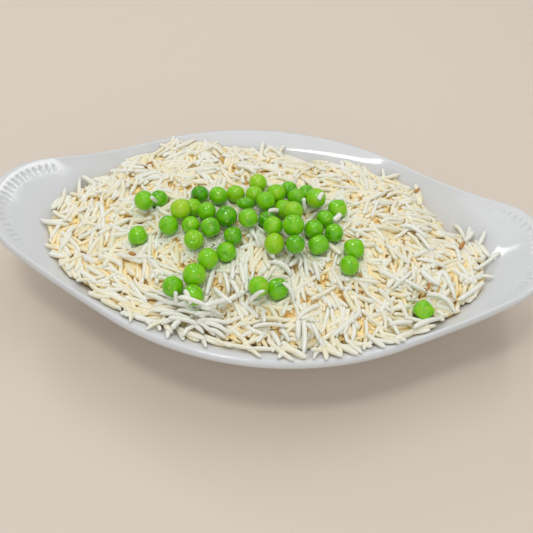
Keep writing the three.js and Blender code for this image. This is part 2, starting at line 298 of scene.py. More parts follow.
def off_corner(ring, normal_a, normal_b, distance):
    """A ring moved off the wall's middle, so that both bands beside it stay parallel."""
    along = (normal_a * normal_b).sum(axis=1, keepdims=True)
    return ring + (normal_a + normal_b) * distance / (1 + along)


def round_corner(before, corner, after, distance, steps):
    """Rings of a rounded corner, which leaves each leg at the given distance from the corner."""
    start = corner + unit(before - corner) * distance
    end = corner + unit(after - corner) * distance
    shares = np.linspace(0, 1, steps + 1)
    return [(1 - s) ** 2 * start + 2 * s * (1 - s) * corner + s * s * end for s in shares]


def between(start, end, steps):
    """Rings between two rings, without those two."""
    return [lerp(start, end, i / steps) for i in range(1, steps)]


def dish_rings():
    """The dish's section all round: inner face, round lip, outer face and foot ring, as a list of rings.
    Also the first and last ring of the flared band, where the ears' flutes are pressed in."""
    half = WALL / 2
    floor, well, rim = wall_rings(rim_outline())
    up = np.tile([0.0, 0.0, 1.0], (len(floor), 1))
    wall_up = band_normal(floor, well)
    flare_up = band_normal(well, rim)
    flare_out = unit(rim - well)
    floor_corner = off_corner(floor, up, wall_up, half)
    well_corner = off_corner(well, wall_up, flare_up, half)
    middle = floor_corner * (0, 0, 1)
    rim_end = rim + flare_up * half
    fillet = round_corner(middle, floor_corner, well_corner, FLOOR_FILLET, FILLET_STEPS)
    edge = round_corner(floor_corner, well_corner, rim_end, WELL_EDGE_ROUND, EDGE_STEPS)
    rings = [lerp(middle, fillet[0], share) for share in FLOOR_SHARES]
    rings += fillet + between(fillet[-1], edge[0], WALL_STEPS) + edge
    flare_first = len(rings)
    rings += between(edge[-1], rim_end, FLARE_STEPS)
    flare_last = len(rings)
    for angle in np.linspace(0, math.pi, LIP_STEPS + 1):
        rings.append(rim + flare_up * half * math.cos(angle) + flare_out * half * math.sin(angle))
    under_corner = off_corner(well, wall_up, flare_up, -half)
    wall_foot = floor - wall_up * half
    foot_share = (under_corner[:, 2:] - FOOT_TOP) / (under_corner[:, 2:] - wall_foot[:, 2:])
    foot_top = lerp(under_corner, wall_foot, foot_share)
    under = round_corner(rings[-1], under_corner, foot_top, WELL_EDGE_ROUND, EDGE_STEPS)
    rings += between(rings[-1], under[0], OUTER_FLARE_STEPS) + under
    rings += between(under[-1], foot_top, WALL_STEPS) + [foot_top]
    inward = unit(-foot_top[:, :2])
    foot = [(FOOT_BEVEL, FOOT_BEVEL), (1.3 * FOOT_BEVEL, 0.3 * FOOT_BEVEL), (2 * FOOT_BEVEL, 0)]
    foot += [(FOOT_WIDTH, 0), (FOOT_WIDTH + FOOT_RECESS, FOOT_RECESS)]
    for inset, z in foot:
        rings.append(np.column_stack([foot_top[:, :2] + inward * inset, np.full(len(inward), z)]))
    return rings, flare_first, flare_last


def flute_tree(material):
    """Presses a row of short tapered flutes into each ear's flare, along an arc about the ear's centre."""
    inputs = ("Ear centre", "Row radius", "Pitch angle", "Half count", "Length", "Width", "Depth")
    tree, given = new_tree("ear flutes", dict.fromkeys(inputs, "NodeSocketFloat"))
    place = add(tree, "ShaderNodeSeparateXYZ", {0: add(tree, "GeometryNodeInputPosition")})
    math_node = "ShaderNodeMath"
    reach_x = add(tree, math_node, {0: place.outputs["X"]}, operation="ABSOLUTE")
    ear_x = add(tree, math_node, {0: reach_x, 1: given["Ear centre"]}, operation="SUBTRACT")
    flat = add(tree, "ShaderNodeCombineXYZ", {"X": ear_x, "Y": place.outputs["Y"]})
    radius = add(tree, "ShaderNodeVectorMath", {0: flat}, operation="LENGTH").outputs["Value"]
    angle = add(tree, math_node, {0: place.outputs["Y"], 1: ear_x}, operation="ARCTAN2")
    steps = add(tree, math_node, {0: angle, 1: given["Pitch angle"]}, operation="DIVIDE")
    nearest = add(tree, math_node, {0: steps}, operation="ROUND")
    off_step = add(tree, math_node, {0: steps, 1: nearest}, operation="SUBTRACT")
    off_angle = add(tree, math_node, {0: off_step, 1: given["Pitch angle"]}, operation="MULTIPLY")
    off_side = add(tree, math_node, {0: off_angle, 1: radius}, operation="MULTIPLY")
    half_width = add(tree, math_node, {0: given["Width"], 1: 0.5}, operation="MULTIPLY")
    across = add(tree, math_node, {0: off_side, 1: half_width}, operation="DIVIDE")
    off_row = add(tree, math_node, {0: radius, 1: given["Row radius"]}, operation="SUBTRACT")
    half_length = add(tree, math_node, {0: given["Length"], 1: 0.5}, operation="MULTIPLY")
    along = add(tree, math_node, {0: off_row, 1: half_length}, operation="DIVIDE")
    # Each flute is widest near the lip and runs out to a point towards the well.
    taper = add(tree, math_node, {0: along, 1: 0.35, 2: 0.65}, operation="MULTIPLY_ADD")
    across_share = add(tree, math_node, {0: across, 1: taper}, operation="DIVIDE")
    across_even = add(tree, math_node, {0: across_share, 1: across_share}, operation="MULTIPLY")
    along_even = add(tree, math_node, {0: along, 1: along}, operation="MULTIPLY")
    away = add(tree, math_node, {0: across_even, 1: along_even}, operation="ADD")
    inside = add(tree, "ShaderNodeMapRange", {"Value": away, 1: 1.0, 2: 0.15},
                 interpolation_type="SMOOTHSTEP")
    row_place = add(tree, math_node, {0: nearest}, operation="ABSOLUTE")
    row_end = add(tree, math_node, {0: given["Half count"], 1: float(FADING_FLUTES)},
                  operation="SUBTRACT")
    fade = add(tree, "ShaderNodeMapRange", {
        "Value": row_place, 1: row_end, 2: given["Half count"], 3: 1.0, 4: 0.0})
    ahead = add(tree, math_node, {0: ear_x, 1: 0.0}, operation="GREATER_THAN")
    flare = add(tree, "GeometryNodeInputNamedAttribute", {"Name": "flare"}, data_type="FLOAT")
    inward = inside
    for factor in (fade, ahead, flare, given["Depth"], -1.0):
        inward = add(tree, math_node, {0: inward, 1: factor}, operation="MULTIPLY")
    offset = add(tree, "ShaderNodeVectorMath",
                 {0: add(tree, "GeometryNodeInputNormal"), "Scale": inward}, operation="SCALE")
    pressed = add(tree, "GeometryNodeSetPosition", {"Geometry": given["Geometry"], "Offset": offset})
    end_tree(tree, pressed, material)
    return tree


def make_dish():
    dish = settings()
    rings, flare_first, flare_last = dish_rings()
    stations = len(rings[0])
    points = np.vstack([*rings, [(0, 0, rings[0][0, 2])], [(0, 0, FOOT_RECESS)]])
    top, bottom = len(points) - 2, len(points) - 1
    last = (len(rings) - 1) * stations
    faces = []
    for s in range(stations):
        n = (s + 1) % stations
        faces.append((top, s, n))
        faces.append((bottom, last + n, last + s))
        for row in range(0, last, stations):
            faces.append((row + s, row + stations + s, row + stations + n, row + n))
    obj = new_mesh("dish_glazed", points, faces)
    flare = np.zeros(len(points))
    flare[flare_first * stations : flare_last * stations] = 1
    set_attribute(obj, "flare", "FLOAT", flare)
    material = glazed_porcelain()
    inputs = {
        "Ear centre": (RIM_HALF_LENGTH - EAR_RADIUS) * MM,
        "Row radius": dish.flute_row_radius,
        "Pitch angle": math.radians(FLUTE_PITCH_DEGREES),
        "Half count": float(FLUTE_HALF_COUNT),
        "Length": dish.flute_length,
        "Width": dish.flute_width,
        "Depth": dish.flute_depth,
    }
    obj = bake_nodes(obj, flute_tree(material), inputs, "dish_glazed")
    return finish_piece(obj, ["dish"])


# ---------------------------------------------------------------- the bed that the rice lies in
# Heights over the dish are kept on a square grid in plan, in millimetres.
PITCH = 0.5
COARSE = 1.0  # pitch of the rays that feel for a surface
RAY_START = 0.2  # m, above everything here
PLAN_X = np.arange(-114, 114 + PITCH, PITCH)
PLAN_Y = np.arange(-74, 74 + PITCH, PITCH)
CORE_DEPTH = 5.5  # how far the core lies below the heap's top before the grains are laid
GRAIN_RADIUS = 1.1  # of a middling grain
SNUG = 0.66  # soft grains press into each other: their distance as a share of two half thicknesses
GAP_DEPTH = 1.3  # how far the gaps between the top grains go below the grains' centrelines
OUTSIDE = -1000.0  # the height of nothing
OPEN_SKY = 1000.0  # the roof where there is no pea
BESIDE_DISH = RIM_HEIGHT - 2  # the height that stands for the dish beyond its edge
STEEPEST_WALL = 2  # rise over run, for the room that a grain needs beside the wall
PEA_ROOM = 2.5  # grain radii from the roof under a pea down to the core
# A pea's dent in the CAD heap reaches so many radii from its middle and so much more.
DENT_RADII = 1.3
DENT_MARGIN = 0.6
DENT_STRIDE = 2  # grid points to the places whose mean height levels a dent's point
DENT_ROUNDS = 700
RELIEF_WAVES = 14
RELIEF_LENGTHS = (9, 24)
RELIEF_HEIGHT = 0.32  # of each wave
# The single layer of grains at the front: how far it goes out from the heap (grid points), how far to
# each side, how high up the flare over the rim's plane, and how far its grains may lie off the flare.
FRONT_REACH = 2
FRONT_HALF_LENGTH = 70
FRONT_TOP = 1.5
FRONT_LIFT = 1.0
FILL_REACH = 3  # grid points: the lowest grain within them sets how high the core may come up
EDGE_FADE = 3  # it comes up less where it is thinner than this
SKIN_MOST = 2  # how far the skin may lie above the target
SKIN_REACH = 4  # grid points
SKIN_ROUNDS = 3
# Below its skin the rice is painted cream and then golden: painted shade, for the warm shade between the
# grains.
GOLDEN_SHADE_DEPTH = 4.5  # depth below the rice's skin at which a grain is as golden as it gets


def plan_cell(x, y):
    """The row and column of the grid's point nearest to each place."""
    column = np.clip(np.rint((x - PLAN_X[0]) / PITCH).astype(int), 0, len(PLAN_X) - 1)
    row = np.clip(np.rint((y - PLAN_Y[0]) / PITCH).astype(int), 0, len(PLAN_Y) - 1)
    return row, column


def offsets_from(place):
    """How far each of the grid's points lies from a place in plan, along X and along Y."""
    return PLAN_X[None, :] - place[0], PLAN_Y[:, None] - place[1]


def draw_waves(rng, count, lengths, last_phase=2 * math.pi):
    """Sine waves over the plan, each with a length, a direction and a phase drawn at random."""
    return [(rng.uniform(*lengths), rng.uniform(0, math.pi), rng.uniform(0, last_phase))
            for _ in range(count)]


def sum_waves(waves, x, y):
    return sum(np.sin((x * math.cos(angle) + y * math.sin(angle)) * 2 * math.pi / length + phase)
               for length, angle, phase in waves)


def heights_of(obj):
    """The height of an object's top seen from above, on the grid, and OUTSIDE where there is none."""
    tree = BVHTree.FromObject(obj, bpy.context.evaluated_depsgraph_get())
    xs = np.arange(PLAN_X[0], PLAN_X[-1] + COARSE, COARSE)
    ys = np.arange(PLAN_Y[0], PLAN_Y[-1] + COARSE, COARSE)
    down = Vector((0, 0, -1))
    coarse = np.full((len(ys), len(xs)), np.nan)
    for row, y in enumerate(ys):
        for column, x in enumerate(xs):
            hit = tree.ray_cast(Vector((x * MM, y * MM, RAY_START)), down)[0]
            if hit:
                coarse[row, column] = hit.z / MM
    along = np.array([np.interp(PLAN_X, xs, line) for line in coarse])
    fine = np.array([np.interp(PLAN_Y, ys, line) for line in along.T]).T
    return np.where(np.isnan(fine), OUTSIDE, fine)


def peas_in_place():
    """Centre and radius of each pea of the frame, in millimetres, by node name."""
    found = {}
    for name in sorted(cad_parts):
        if name.startswith("pea_"):
            low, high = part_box(name)
            size = (high - low) / MM
            found[name] = (np.array((low + high) / 2) / MM, sum(size) / 6)
    return found


def close_dents(heights, peas):
    """Level the dents under the peas with the rice around them."""
    dent = np.zeros(heights.shape, bool)
    for centre, radius in peas.values():
        dent |= np.hypot(*offsets_from(centre)) < radius * DENT_RADII + DENT_MARGIN
    dent &= heights > OUTSIDE
    level = heights.copy()
    level[dent] = heights[~dent & (heights > OUTSIDE)].mean()
    for _ in range(DENT_ROUNDS):
        around = sum(np.roll(level, step, axis) for axis in (0, 1) for step in (DENT_STRIDE, -DENT_STRIDE))
        level[dent] = around[dent] / 4
    return level


def clump_relief():
    """The heap's low clumps and hollows, which the CAD solid leaves out: a mean of 0, on the grid."""
    waves = draw_waves(np.random.default_rng(3), RELIEF_WAVES, RELIEF_LENGTHS)
    return RELIEF_HEIGHT * sum_waves(waves, *np.meshgrid(PLAN_X, PLAN_Y))


def spread_out(heights, reach, pick):
    """The lowest or highest (pick) of the heights within a square reach, in grid points."""
    for axis in (0, 1):
        heights = pick([np.roll(heights, step, axis) for step in range(-reach, reach + 1)], axis=0)
    return heights


class Bed:
    """What the grains are laid on: ground, roof and target are heights for a grain's centreline."""

    laid = None  # the bed with the rice on it, for the seeds

    def __init__(self, dish):
        self.peas = peas_in_place()
        self.floor = heights_of(dish)
        self.top = close_dents(heights_of(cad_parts["rice"]), self.peas)
        inside = self.floor > OUTSIDE
        slope_y, slope_x = np.gradient(np.where(inside, self.floor, RIM_HEIGHT), PITCH)
        lift = GRAIN_RADIUS * np.sqrt(1 + np.minimum(slope_x**2 + slope_y**2, STEEPEST_WALL**2))
        self.porcelain = np.where(inside, self.floor + lift, BESIDE_DISH)
        self.roof = np.full(self.floor.shape, OPEN_SKY)
        for centre, radius in self.peas.values():
            x, y = offsets_from(centre)
            room = (radius + GRAIN_RADIUS) ** 2 - (x**2 + y**2)
            under = centre[2] - np.sqrt(np.maximum(room, 0))
            self.roof = np.where(room > 0, np.minimum(self.roof, under), self.roof)
        self.wanted = self.top > OUTSIDE
        self.core = np.minimum(self.top - CORE_DEPTH, self.roof - PEA_ROOM * GRAIN_RADIUS)
        self.ground = np.maximum(self.porcelain, np.where(self.wanted, self.core, OUTSIDE))
        self.surface = self.ground - GRAIN_RADIUS
        self.target = np.where(self.wanted, self.top - GRAIN_RADIUS + clump_relief(), OUTSIDE)
        # Along the front a single layer of grains lies out on the flare, up to the lip.
        front = (PLAN_Y[:, None] < 0) & (abs(PLAN_X[None, :]) < FRONT_HALF_LENGTH)
        near = spread_out(self.wanted, FRONT_REACH, np.max) & inside & front
        layer = near & ~self.wanted & (self.porcelain < RIM_HEIGHT + FRONT_TOP)
        self.target = np.where(layer, self.porcelain + FRONT_LIFT, self.target)
        self.wanted |= layer

    def heap_over(self, grain):
        """Raise the ground over a grain, so that the next grain lies on it."""
        line = grain["heading"] * grain["half"] * FINE_SAMPLES[:, None]
        points = grain["centre"] + line + grain["bow"] * FINE_ARCH[:, None]
        reach = (grain["thick"] + GRAIN_RADIUS) * SNUG
        low = points.min(axis=0) - reach
        high = points.max(axis=0) + reach
        row_a, column_a = plan_cell(low[0], low[1])
        row_b, column_b = plan_cell(high[0], high[1])
        rows = slice(row_a, row_b + 1)
        columns = slice(column_a, column_b + 1)
        x = PLAN_X[columns][None, :, None] - points[:, 0]
        y = PLAN_Y[rows][:, None, None] - points[:, 1]
        for heights, radius in ((self.ground, reach), (self.surface, grain["thick"])):
            room = radius**2 - x**2 - y**2
            over = np.where(room > 0, points[:, 2] + np.sqrt(np.maximum(room, 0)), OUTSIDE)
            np.maximum(heights[rows, columns], over.max(axis=2), out=heights[rows, columns])

    def close_up(self):
        """Raise the core to the gaps' depth below the laid grains, and find the rice's skin."""
        resting = self.ground - 2 * GRAIN_RADIUS * SNUG
        fill = spread_out(resting, FILL_REACH, np.min) - GAP_DEPTH
        inward = np.clip((self.core - self.porcelain) / EDGE_FADE, 0, 1)
        self.core += np.maximum(fill - self.core, 0) * inward
        weight = (self.wanted & (self.target > self.porcelain)).astype(float)
        skin = np.minimum(resting + GRAIN_RADIUS, self.target + SKIN_MOST) * weight
        steps = range(-SKIN_REACH, SKIN_REACH + 1)
        for _ in range(SKIN_ROUNDS):
            for axis in (0, 1):
                skin = np.mean([np.roll(skin, step, axis) for step in steps], axis=0)
                weight = np.mean([np.roll(weight, step, axis) for step in steps], axis=0)
        self.skin = skin / np.maximum(weight, 1e-9)


# ---------------------------------------------------------------- grains of rice
GRAIN_SIDES = 6
LUMP_SIZE = 4  # of a grain's unevenness
SAMPLES = np.linspace(-1, 1, 13)
ARCH = SAMPLES**2 - 1 / 3  # a bow's share along a grain, with its mean at 0
FINE_SAMPLES = np.linspace(-1, 1, 19)
FINE_ARCH = FINE_SAMPLES**2 - 1 / 3
LEFT = SAMPLES < -0.01
RIGHT = SAMPLES > 0.01
NO_ROOM = 0.25  # a place needs this much room above its ground for another grain
LOOSE_LIFT = 1.3  # how much higher the last, loose grains may lie than the heap
LOOSE_ROUNDS = 6
LOOSE_GRAINS = 330
PROPOSALS = 2400
MOST_LAID_AT_ONCE = 130
BUSY_CELL = 4  # grid points to a side of the squares that keep grains laid at once apart
FEWEST_LAID = 4  # a round that lays fewer is idle
IDLE_ROUNDS = 4  # so many of them in a row, and the heap is full
# How far (rad) the grains' headings stray from their bundle: in the heap, in its gaps and on top.
HEAP_STRAY = 0.45
GAP_STRAY = 0.6
LOOSE_STRAY = 1.0
TILT = 0.5  # rad, the usual tilt of a grain that is stuck
STEEPEST_GRAIN = 1.2  # rise over run
STUCK_SINK = (0.3, 2.8)  # how far a tilted grain is pressed into those below it
RESTING_SINK = (0, 1.5)
WALL_GAP = 0.3  # up to this height over its lowest place at the wall a grain counts as lying on it
# How far an end of a grain may stand above the target, and how often each is allowed.
PROUD_ENDS = [0.5, 1.6, 3.2]
PROUD_CHANCES = [0.6, 0.3, 0.1]
# What counts against a place for a grain, beside its depth in millimetres: an end that stands too high
# (by the mm), a pea in the way, a grain shorter than usual (by the mm), and up to CHANCE by chance.
# No grain is laid whose score is over WORST_SCORE.
PROUD_COST = 4
BLOCKED_COST = 100
SHORT_COST = 0.3
USUAL_HALF = 5.5
CHANCE = 0.8
WORST_SCORE = 0.7
# In the gaps depth doesn't count, but a slope whose square is over STEEP_SQUARE counts against a grain.
GAP_CHANCE = 0.7
STEEP_COST = 4
STEEP_SQUARE = 0.5
LOOSE_CHANCE = 2  # more chance for the loose grains on top
DRIFT_WAVES = 10
DRIFT_LENGTHS = (26, 60)
DRIFT_TURN = 0.55  # rad, of each wave
DRIFT_SHARE = 0.35  # its weight beside that of the bundles, and how much of it all headings take
HEAP_LEVEL = RIM_HEIGHT + 8  # a usual height of the heap's surface

# Share of the grains, and the mean and spread of the length, half thickness and bow of the middle off
# the line of the ends. rice_under is plainer and only fills the gaps between the others.
KINDS = {
    "rice_straight": {"share": 0.38, "length": (12.4, 1.4), "thick": (1.1, 0.1), "bow": (0.3, 0.25)},
    "rice_curved": {"share": 0.39, "length": (13.0, 1.6), "thick": (1.06, 0.1), "bow": (1.2, 0.6)},
    "rice_creased": {"share": 0.2, "length": (11.6, 1.3), "thick": (1.16, 0.1), "bow": (0.6, 0.4)},
    "rice_broken": {"share": 0.03, "length": (6, 1.4), "thick": (1.08, 0.1), "bow": (0.1, 0.1)},
    "rice_under": {"share": 0.0, "length": (11, 1.8), "thick": (1.12, 0.1), "bow": (0.4, 0.3)},
}
KIND_NAMES = list(KINDS)
KIND_SHARES = [kind["share"] for kind in KINDS.values()]

TOP_ROOM = 1.3  # how much lower the heap stays under the grains placed by the picture
SHOWN_SINK = 0.7  # how far a grain placed by the picture may be pressed into what is below it
SHOWN_TINT = 0.8  # such a grain is whiter than most
SHOWN_THICK = (1.08, 0.07)
SHOWN_REACH = 1.8  # room that it takes on each side
SHOWN_PLACES = 12  # along it, at which that room is marked
SHOWN_BROKEN = 3.2  # it is a broken one if its half length is less
APPROACH_START = 8  # how deep in the heap its way towards the eye begins
APPROACH_STEP = 0.12
APPROACH_STEPS = 200
SIGHT_TOP = 80  # height from which a sight line is followed down
SIGHT_STEP = 0.2
GAP_ROUNDS = 30  # at most
GAP_TOO_DEEP = 1.7  # a place whose rice lies this far below the target takes another grain
UNDER_DEPTH = (0.7, 1.6)  # how far below the target those grains are pressed in
# Grains that the picture singles out: the places in it of both ends, and how far the middle stands off
# the line between them, to the picture's left as the grain runs and upwards (mm). True: it may lie on
# peas, and not only on rice.
SHOWN_GRAINS = [
    # the clump at the front left
    (145, 294, 172, 306, 0.5, 0.6), (157, 292, 186, 307, 0.5, 0.6), (153, 311, 181, 314, 0.6, 0.6),
    (165, 302, 196, 311, 0.6, 0.7), (176, 311, 206, 318, 0.7, 0.7), (161, 324, 190, 320, 0.8, 0.8),
    (172, 329, 180, 321, 0.3, 0.5), (182, 336, 200, 327, 1.2, 0.9), (196, 321, 228, 323, 0.4, 0.7),
    (193, 314, 224, 318, 0.5, 0.7), (197, 321, 215, 336, 0.5, 0.5), (188, 321, 204, 334, 0.4, 0.4),
    (204, 322, 229, 333, 0.5, 0.6), (208, 329, 226, 339, 0.4, 0.5), (160, 314, 190, 319, 0.5, 0.6),
    (180, 303, 215, 309, 0.5, 0.6), (200, 307, 222, 315, 0.4, 0.5), (175.5, 291, 176, 304, 0.1, 0.2, True),
    (184.5, 290, 191, 304, 0.1, 0.2, True), (168, 318, 198, 324, 0.5, 0.6), (178, 297, 206, 306, 0.4, 0.5),
    # the front, from left to right
    (218, 308, 247, 291, 0.4, 0.4), (204, 306, 232, 300, 0.3, 0.4), (214, 288, 231, 303, -0.3, 0.4),
    (224, 272, 229, 293, 0.2, 0.3), (230, 278, 240, 297, 0.3, 0.3), (214, 265, 206, 295, 0.3, 0.4),
    (232, 259, 232, 279, 0.4, 0.4), (249, 302, 264, 290, 0.2, 0.3, True), (246, 263, 247, 291, -0.3, 0.4),
    (252, 327, 287, 327, 0.9, 0.7), (262, 310, 264, 322, 0.1, 0.2), (271, 331, 280, 347, 0.3, 0.3),
    (281, 329, 289, 342, 0.3, 0.3), (304, 320, 304, 354, 0.3, 0.4), (298, 320, 298, 340, 0.2, 0.3),
    (307, 323, 323, 346, 0.4, 0.4), (311, 323, 319, 341, 0.3, 0.3), (283, 282, 293, 303, 1.4, 0.5, True),
    (270, 262, 291, 277, 2.0, 0.6), (303, 254, 307, 277, 0.3, 0.4), (313, 261, 319, 281, 0.3, 0.3),
    (299, 255, 290, 266, 0.3, 0.3), (240, 262, 244, 284, 0.2, 0.3), (266, 248, 274, 258, 0.2, 0.3),
    # among the peas
    (249, 227, 254, 236, 0.1, 0.1), (254, 234, 260, 248, 0.2, 0.3), (284, 246, 292, 256, 0.1, 0.2),
    (295, 254, 299, 268, 1.5, 0.4), (304, 198, 305.5, 210, -0.4, 0.2, True),
    (318, 200, 323, 193, 0, 0, True), (268, 211, 278, 211, 0, 0.1, True),
    (151, 197, 157, 202, 0, 0.1, True), (334, 221, 340, 214, 0, 0, True),
    # the right end
    (454, 225, 464, 240, 0.8, 0.5), (470, 227, 465, 244, 0.3, 0.3), (473, 232, 464, 241, 0.3, 0.2),
    (500, 252, 474, 270, 0.5, 0.3), (485, 231, 478, 246, 0.3, 0.1), (426, 295, 455, 313, 2.6, 0.8),
    (421, 269, 440, 285, -1.0, 0.4), (417, 259, 446, 268, 0.7, 0.5), (400, 225, 427, 239, 1.6, 0.5),
    (412, 271, 391, 289, 0.4, 0.4), (442, 270, 452, 290, 0.3, 0.3), (450, 285, 455, 300, 0.3, 0.3),
    (484, 282, 458, 300, 0.6, 0.4), (436, 311, 444, 316, 0.1, 0.1), (387, 317, 399, 335, 0.2, 0.3),
    (404, 318, 428, 325, 0.4, 0.4), (413, 328, 441, 318, 0.5, 0.4), (389, 325, 413, 322, 0.3, 0.4),
    (416, 233, 430, 250, 0.3, 0.3), (405, 280, 428, 292, -0.4, 0.4),
]

# How bundles of grains lie: a place in the picture, its reach (mm), the way they point (degrees
# anticlockwise from rightwards in the picture) and how strictly they keep to it.
BUNDLES = [
    (150, 165, 16, 10, 0.8), (215, 165, 14, -40, 0.6), (90, 205, 14, 60, 0.5), (75, 250, 12, -20, 0.5),
    (110, 285, 12, -38, 1.0), (165, 262, 12, -22, 1.0), (185, 315, 15, -12, 1.6), (222, 300, 9, 35, 1.2),
    (215, 285, 8, 65, 1.0), (250, 262, 10, -70, 1.0), (300, 275, 13, -75, 1.0), (330, 310, 15, 80, 0.9),
    (270, 335, 12, -60, 0.7), (385, 275, 13, -50, 1.0), (400, 225, 15, -15, 1.0), (350, 180, 14, -8, 0.8),
    (300, 165, 12, 20, 0.6), (440, 250, 12, 10, 0.6), (450, 285, 12, 55, 0.8), (400, 320, 12, -5, 0.9),
    (355, 330, 10, -60, 0.7), (290, 225, 12, -65, 0.6),
]


def spindle(places, radii, ridges):
    """Points and faces of a closed spindle of half length 1 along Z: a ring of points at each place,
    with its radius times that of each ridge and groove, and a point at each end."""
    sides = len(ridges)
    angles = np.linspace(0, 2 * math.pi, sides, endpoint=False)
    points = [(0, 0, -1)]
    for place, radius in zip(places, radii):
        points += [(radius * r * math.cos(a), radius * r * math.sin(a), place)
                   for a, r in zip(angles, ridges)]
    points.append((0, 0, 1))
    faces = []
    last = len(points) - 1
    for i in range(sides):
        n = (i + 1) % sides
        faces.append((0, 1 + n, 1 + i))
        for ring in range(len(places) - 1):
            a = 1 + ring * sides
            faces.append((a + i, a + n, a + sides + n, a + sides + i))
        faces.append((last, last - sides + i, last - sides + n))
    return points, faces


def grain_shape(kind):
    """A grain of half length 1 along Z and half thickness 1, blunt at one end and tapered at the other."""
    # The rings are closer together towards the rounded ends.
    places = np.array([-0.985, -0.92, -0.74, -0.3, 0.25, 0.7, 0.88, 0.975])
    if kind == "rice_under":
        places = np.array([-0.96, -0.8, -0.2, 0.5, 0.92])
    blunt, tapered = 9, 4.6  # powers: the higher, the blunter
    radii = np.where(places < 0, (1 - abs(places) ** blunt) ** 0.5, (1 - abs(places) ** tapered) ** 0.5)
    if kind == "rice_broken":
        places[-2:] = 0.93, 0.99
        radii[-3:] = 0.95, 0.9, 0.72
    groove = 0.2 if kind == "rice_creased" else 0.05
    return spindle(places, radii, 1 - groove * (np.arange(GRAIN_SIDES) % 2))


def grain_tree(material):
    """Puts a grain on every point, turned, sized and bowed as its attributes say, and a little uneven."""
    tree, given = new_tree("scattered grains", {
        "Grain": "NodeSocketObject", "Unevenness": "NodeSocketFloat", "Lump size": "NodeSocketFloat"})
    vectors = {}
    for name in ("heading", "side", "size", "bow"):
        vectors[name] = add(tree, "GeometryNodeInputNamedAttribute", {"Name": name},
                            data_type="FLOAT_VECTOR")
    shape = add(tree, "GeometryNodeObjectInfo", {"Object": given["Grain"]})
    turn = add(tree, "FunctionNodeAxesToRotation", {0: vectors["heading"], 1: vectors["side"]},
               primary_axis="Z", secondary_axis="X")
    grains = add(tree, "GeometryNodeInstanceOnPoints", {
        "Points": given["Geometry"], "Instance": shape.outputs["Geometry"],
        "Rotation": turn, "Scale": vectors["size"]})
    real = add(tree, "GeometryNodeRealizeInstances", {"Geometry": grains})
    along = add(tree, "GeometryNodeInputNamedAttribute", {"Name": "along"}, data_type="FLOAT")
    square = add(tree, "ShaderNodeMath", {0: along, 1: along}, operation="MULTIPLY")
    arch = add(tree, "ShaderNodeMath", {0: square, 1: 1 / 3}, operation="SUBTRACT")
    bend = add(tree, "ShaderNodeVectorMath", {0: vectors["bow"], "Scale": arch}, operation="SCALE")
    place = add(tree, "GeometryNodeInputPosition")
    pitch = add(tree, "ShaderNodeMath", {0: 1.0, 1: given["Lump size"]}, operation="DIVIDE")
    lumps = add(tree, "ShaderNodeTexNoise", {"Vector": place, "Scale": pitch, "Detail": 0.0})
    centred = add(tree, "ShaderNodeVectorMath", {0: lumps.outputs["Color"], 1: (0.5, 0.5, 0.5)},
                  operation="SUBTRACT")
    uneven = add(tree, "ShaderNodeVectorMath", {0: centred, "Scale": given["Unevenness"]},
                 operation="SCALE")
    offset = add(tree, "ShaderNodeVectorMath", {0: bend, 1: uneven}, operation="ADD")
    bowed = add(tree, "GeometryNodeSetPosition", {"Geometry": real, "Offset": offset})
    end_tree(tree, bowed, material)
    return tree


def ridge_of(points):
    """How much each point of a spindle stands out among the others of its ring, from 0 to 1."""
    radii = np.hypot(*np.array(points)[:, :2].T)
    heights = [point[2] for point in points]
    most = {height: max(r for r, h in zip(radii, heights) if h == height) for height in set(heights)}
    return [float(r > 0 and r > 0.95 * most[h]) for r, h in zip(radii, heights)]


def scatter(name, shape, things, tree, inputs):
    """One mesh from many copies of a shape. things holds an array for each attribute, lengths in mm."""
    points, faces = shape
    copy = new_mesh(name + "_one", np.array(points) / MM, faces)
    set_attribute(copy, "along", "FLOAT", [p[2] for p in points])
    set_attribute(copy, "ridge", "FLOAT", ridge_of(points))
    obj = new_mesh(name, things["centre"], [])
    for key, scale in (("heading", 1), ("side", 1), ("size", MM), ("bow", MM)):
        set_attribute(obj, key, "FLOAT_VECTOR", things[key] * scale)
    set_attribute(obj, "tint", "FLOAT", things["tint"])
    obj = bake_nodes(obj, tree, {"Grain": copy, **inputs}, name)
    for key in ("heading", "side", "size", "bow"):
        layer = obj.data.attributes.get(key)
        if layer:
            obj.data.attributes.remove(layer)
    bpy.data.objects.remove(copy)
    return obj


def with_looks(rng, grains):
    """Adds what the grain tree needs beside a grain's place: its roll, section and tint."""
    count = len(grains["half"])
    off = rng.normal(size=(count, 3))
    along = (off * grains["heading"]).sum(axis=1, keepdims=True)
    thick = grains["thick"]
    grains["side"] = unit(off - grains["heading"] * along)
    grains["size"] = np.column_stack([
        thick * rng.uniform(1.0, 1.25, count), thick * rng.uniform(0.88, 1.05, count), grains["half"]])
    grains["tint"] = np.where(grains["shown"], SHOWN_TINT, rng.normal(0.5, 0.22, count))
    return grains


def bundle_headings(rng):
    """The way the grains lie over the plan: bundles seen in the picture, with a slow drift between them."""
    x, y = np.meshgrid(PLAN_X, PLAN_Y)
    drift = DRIFT_TURN * sum_waves(draw_waves(rng, DRIFT_WAVES, DRIFT_LENGTHS), x, y)
    # A grain has no front or back, so the headings are mixed as doubled angles.
    cos, sin = DRIFT_SHARE * np.cos(2 * drift), DRIFT_SHARE * np.sin(2 * drift)
    for px, py, reach, degrees, strength in BUNDLES:
        place = on_level(px, py, HEAP_LEVEL)
        step = math.radians(degrees)
        ahead = on_level(px + 10 * math.cos(step), py - 10 * math.sin(step), HEAP_LEVEL) - place
        heading = math.atan2(ahead[1], ahead[0])
        weight = strength * np.exp(-((x - place[0]) ** 2 + (y - place[1]) ** 2) / reach**2)
        cos += weight * math.cos(2 * heading)
        sin += weight * math.sin(2 * heading)
    return np.arctan2(sin, cos) / 2 + DRIFT_SHARE * drift


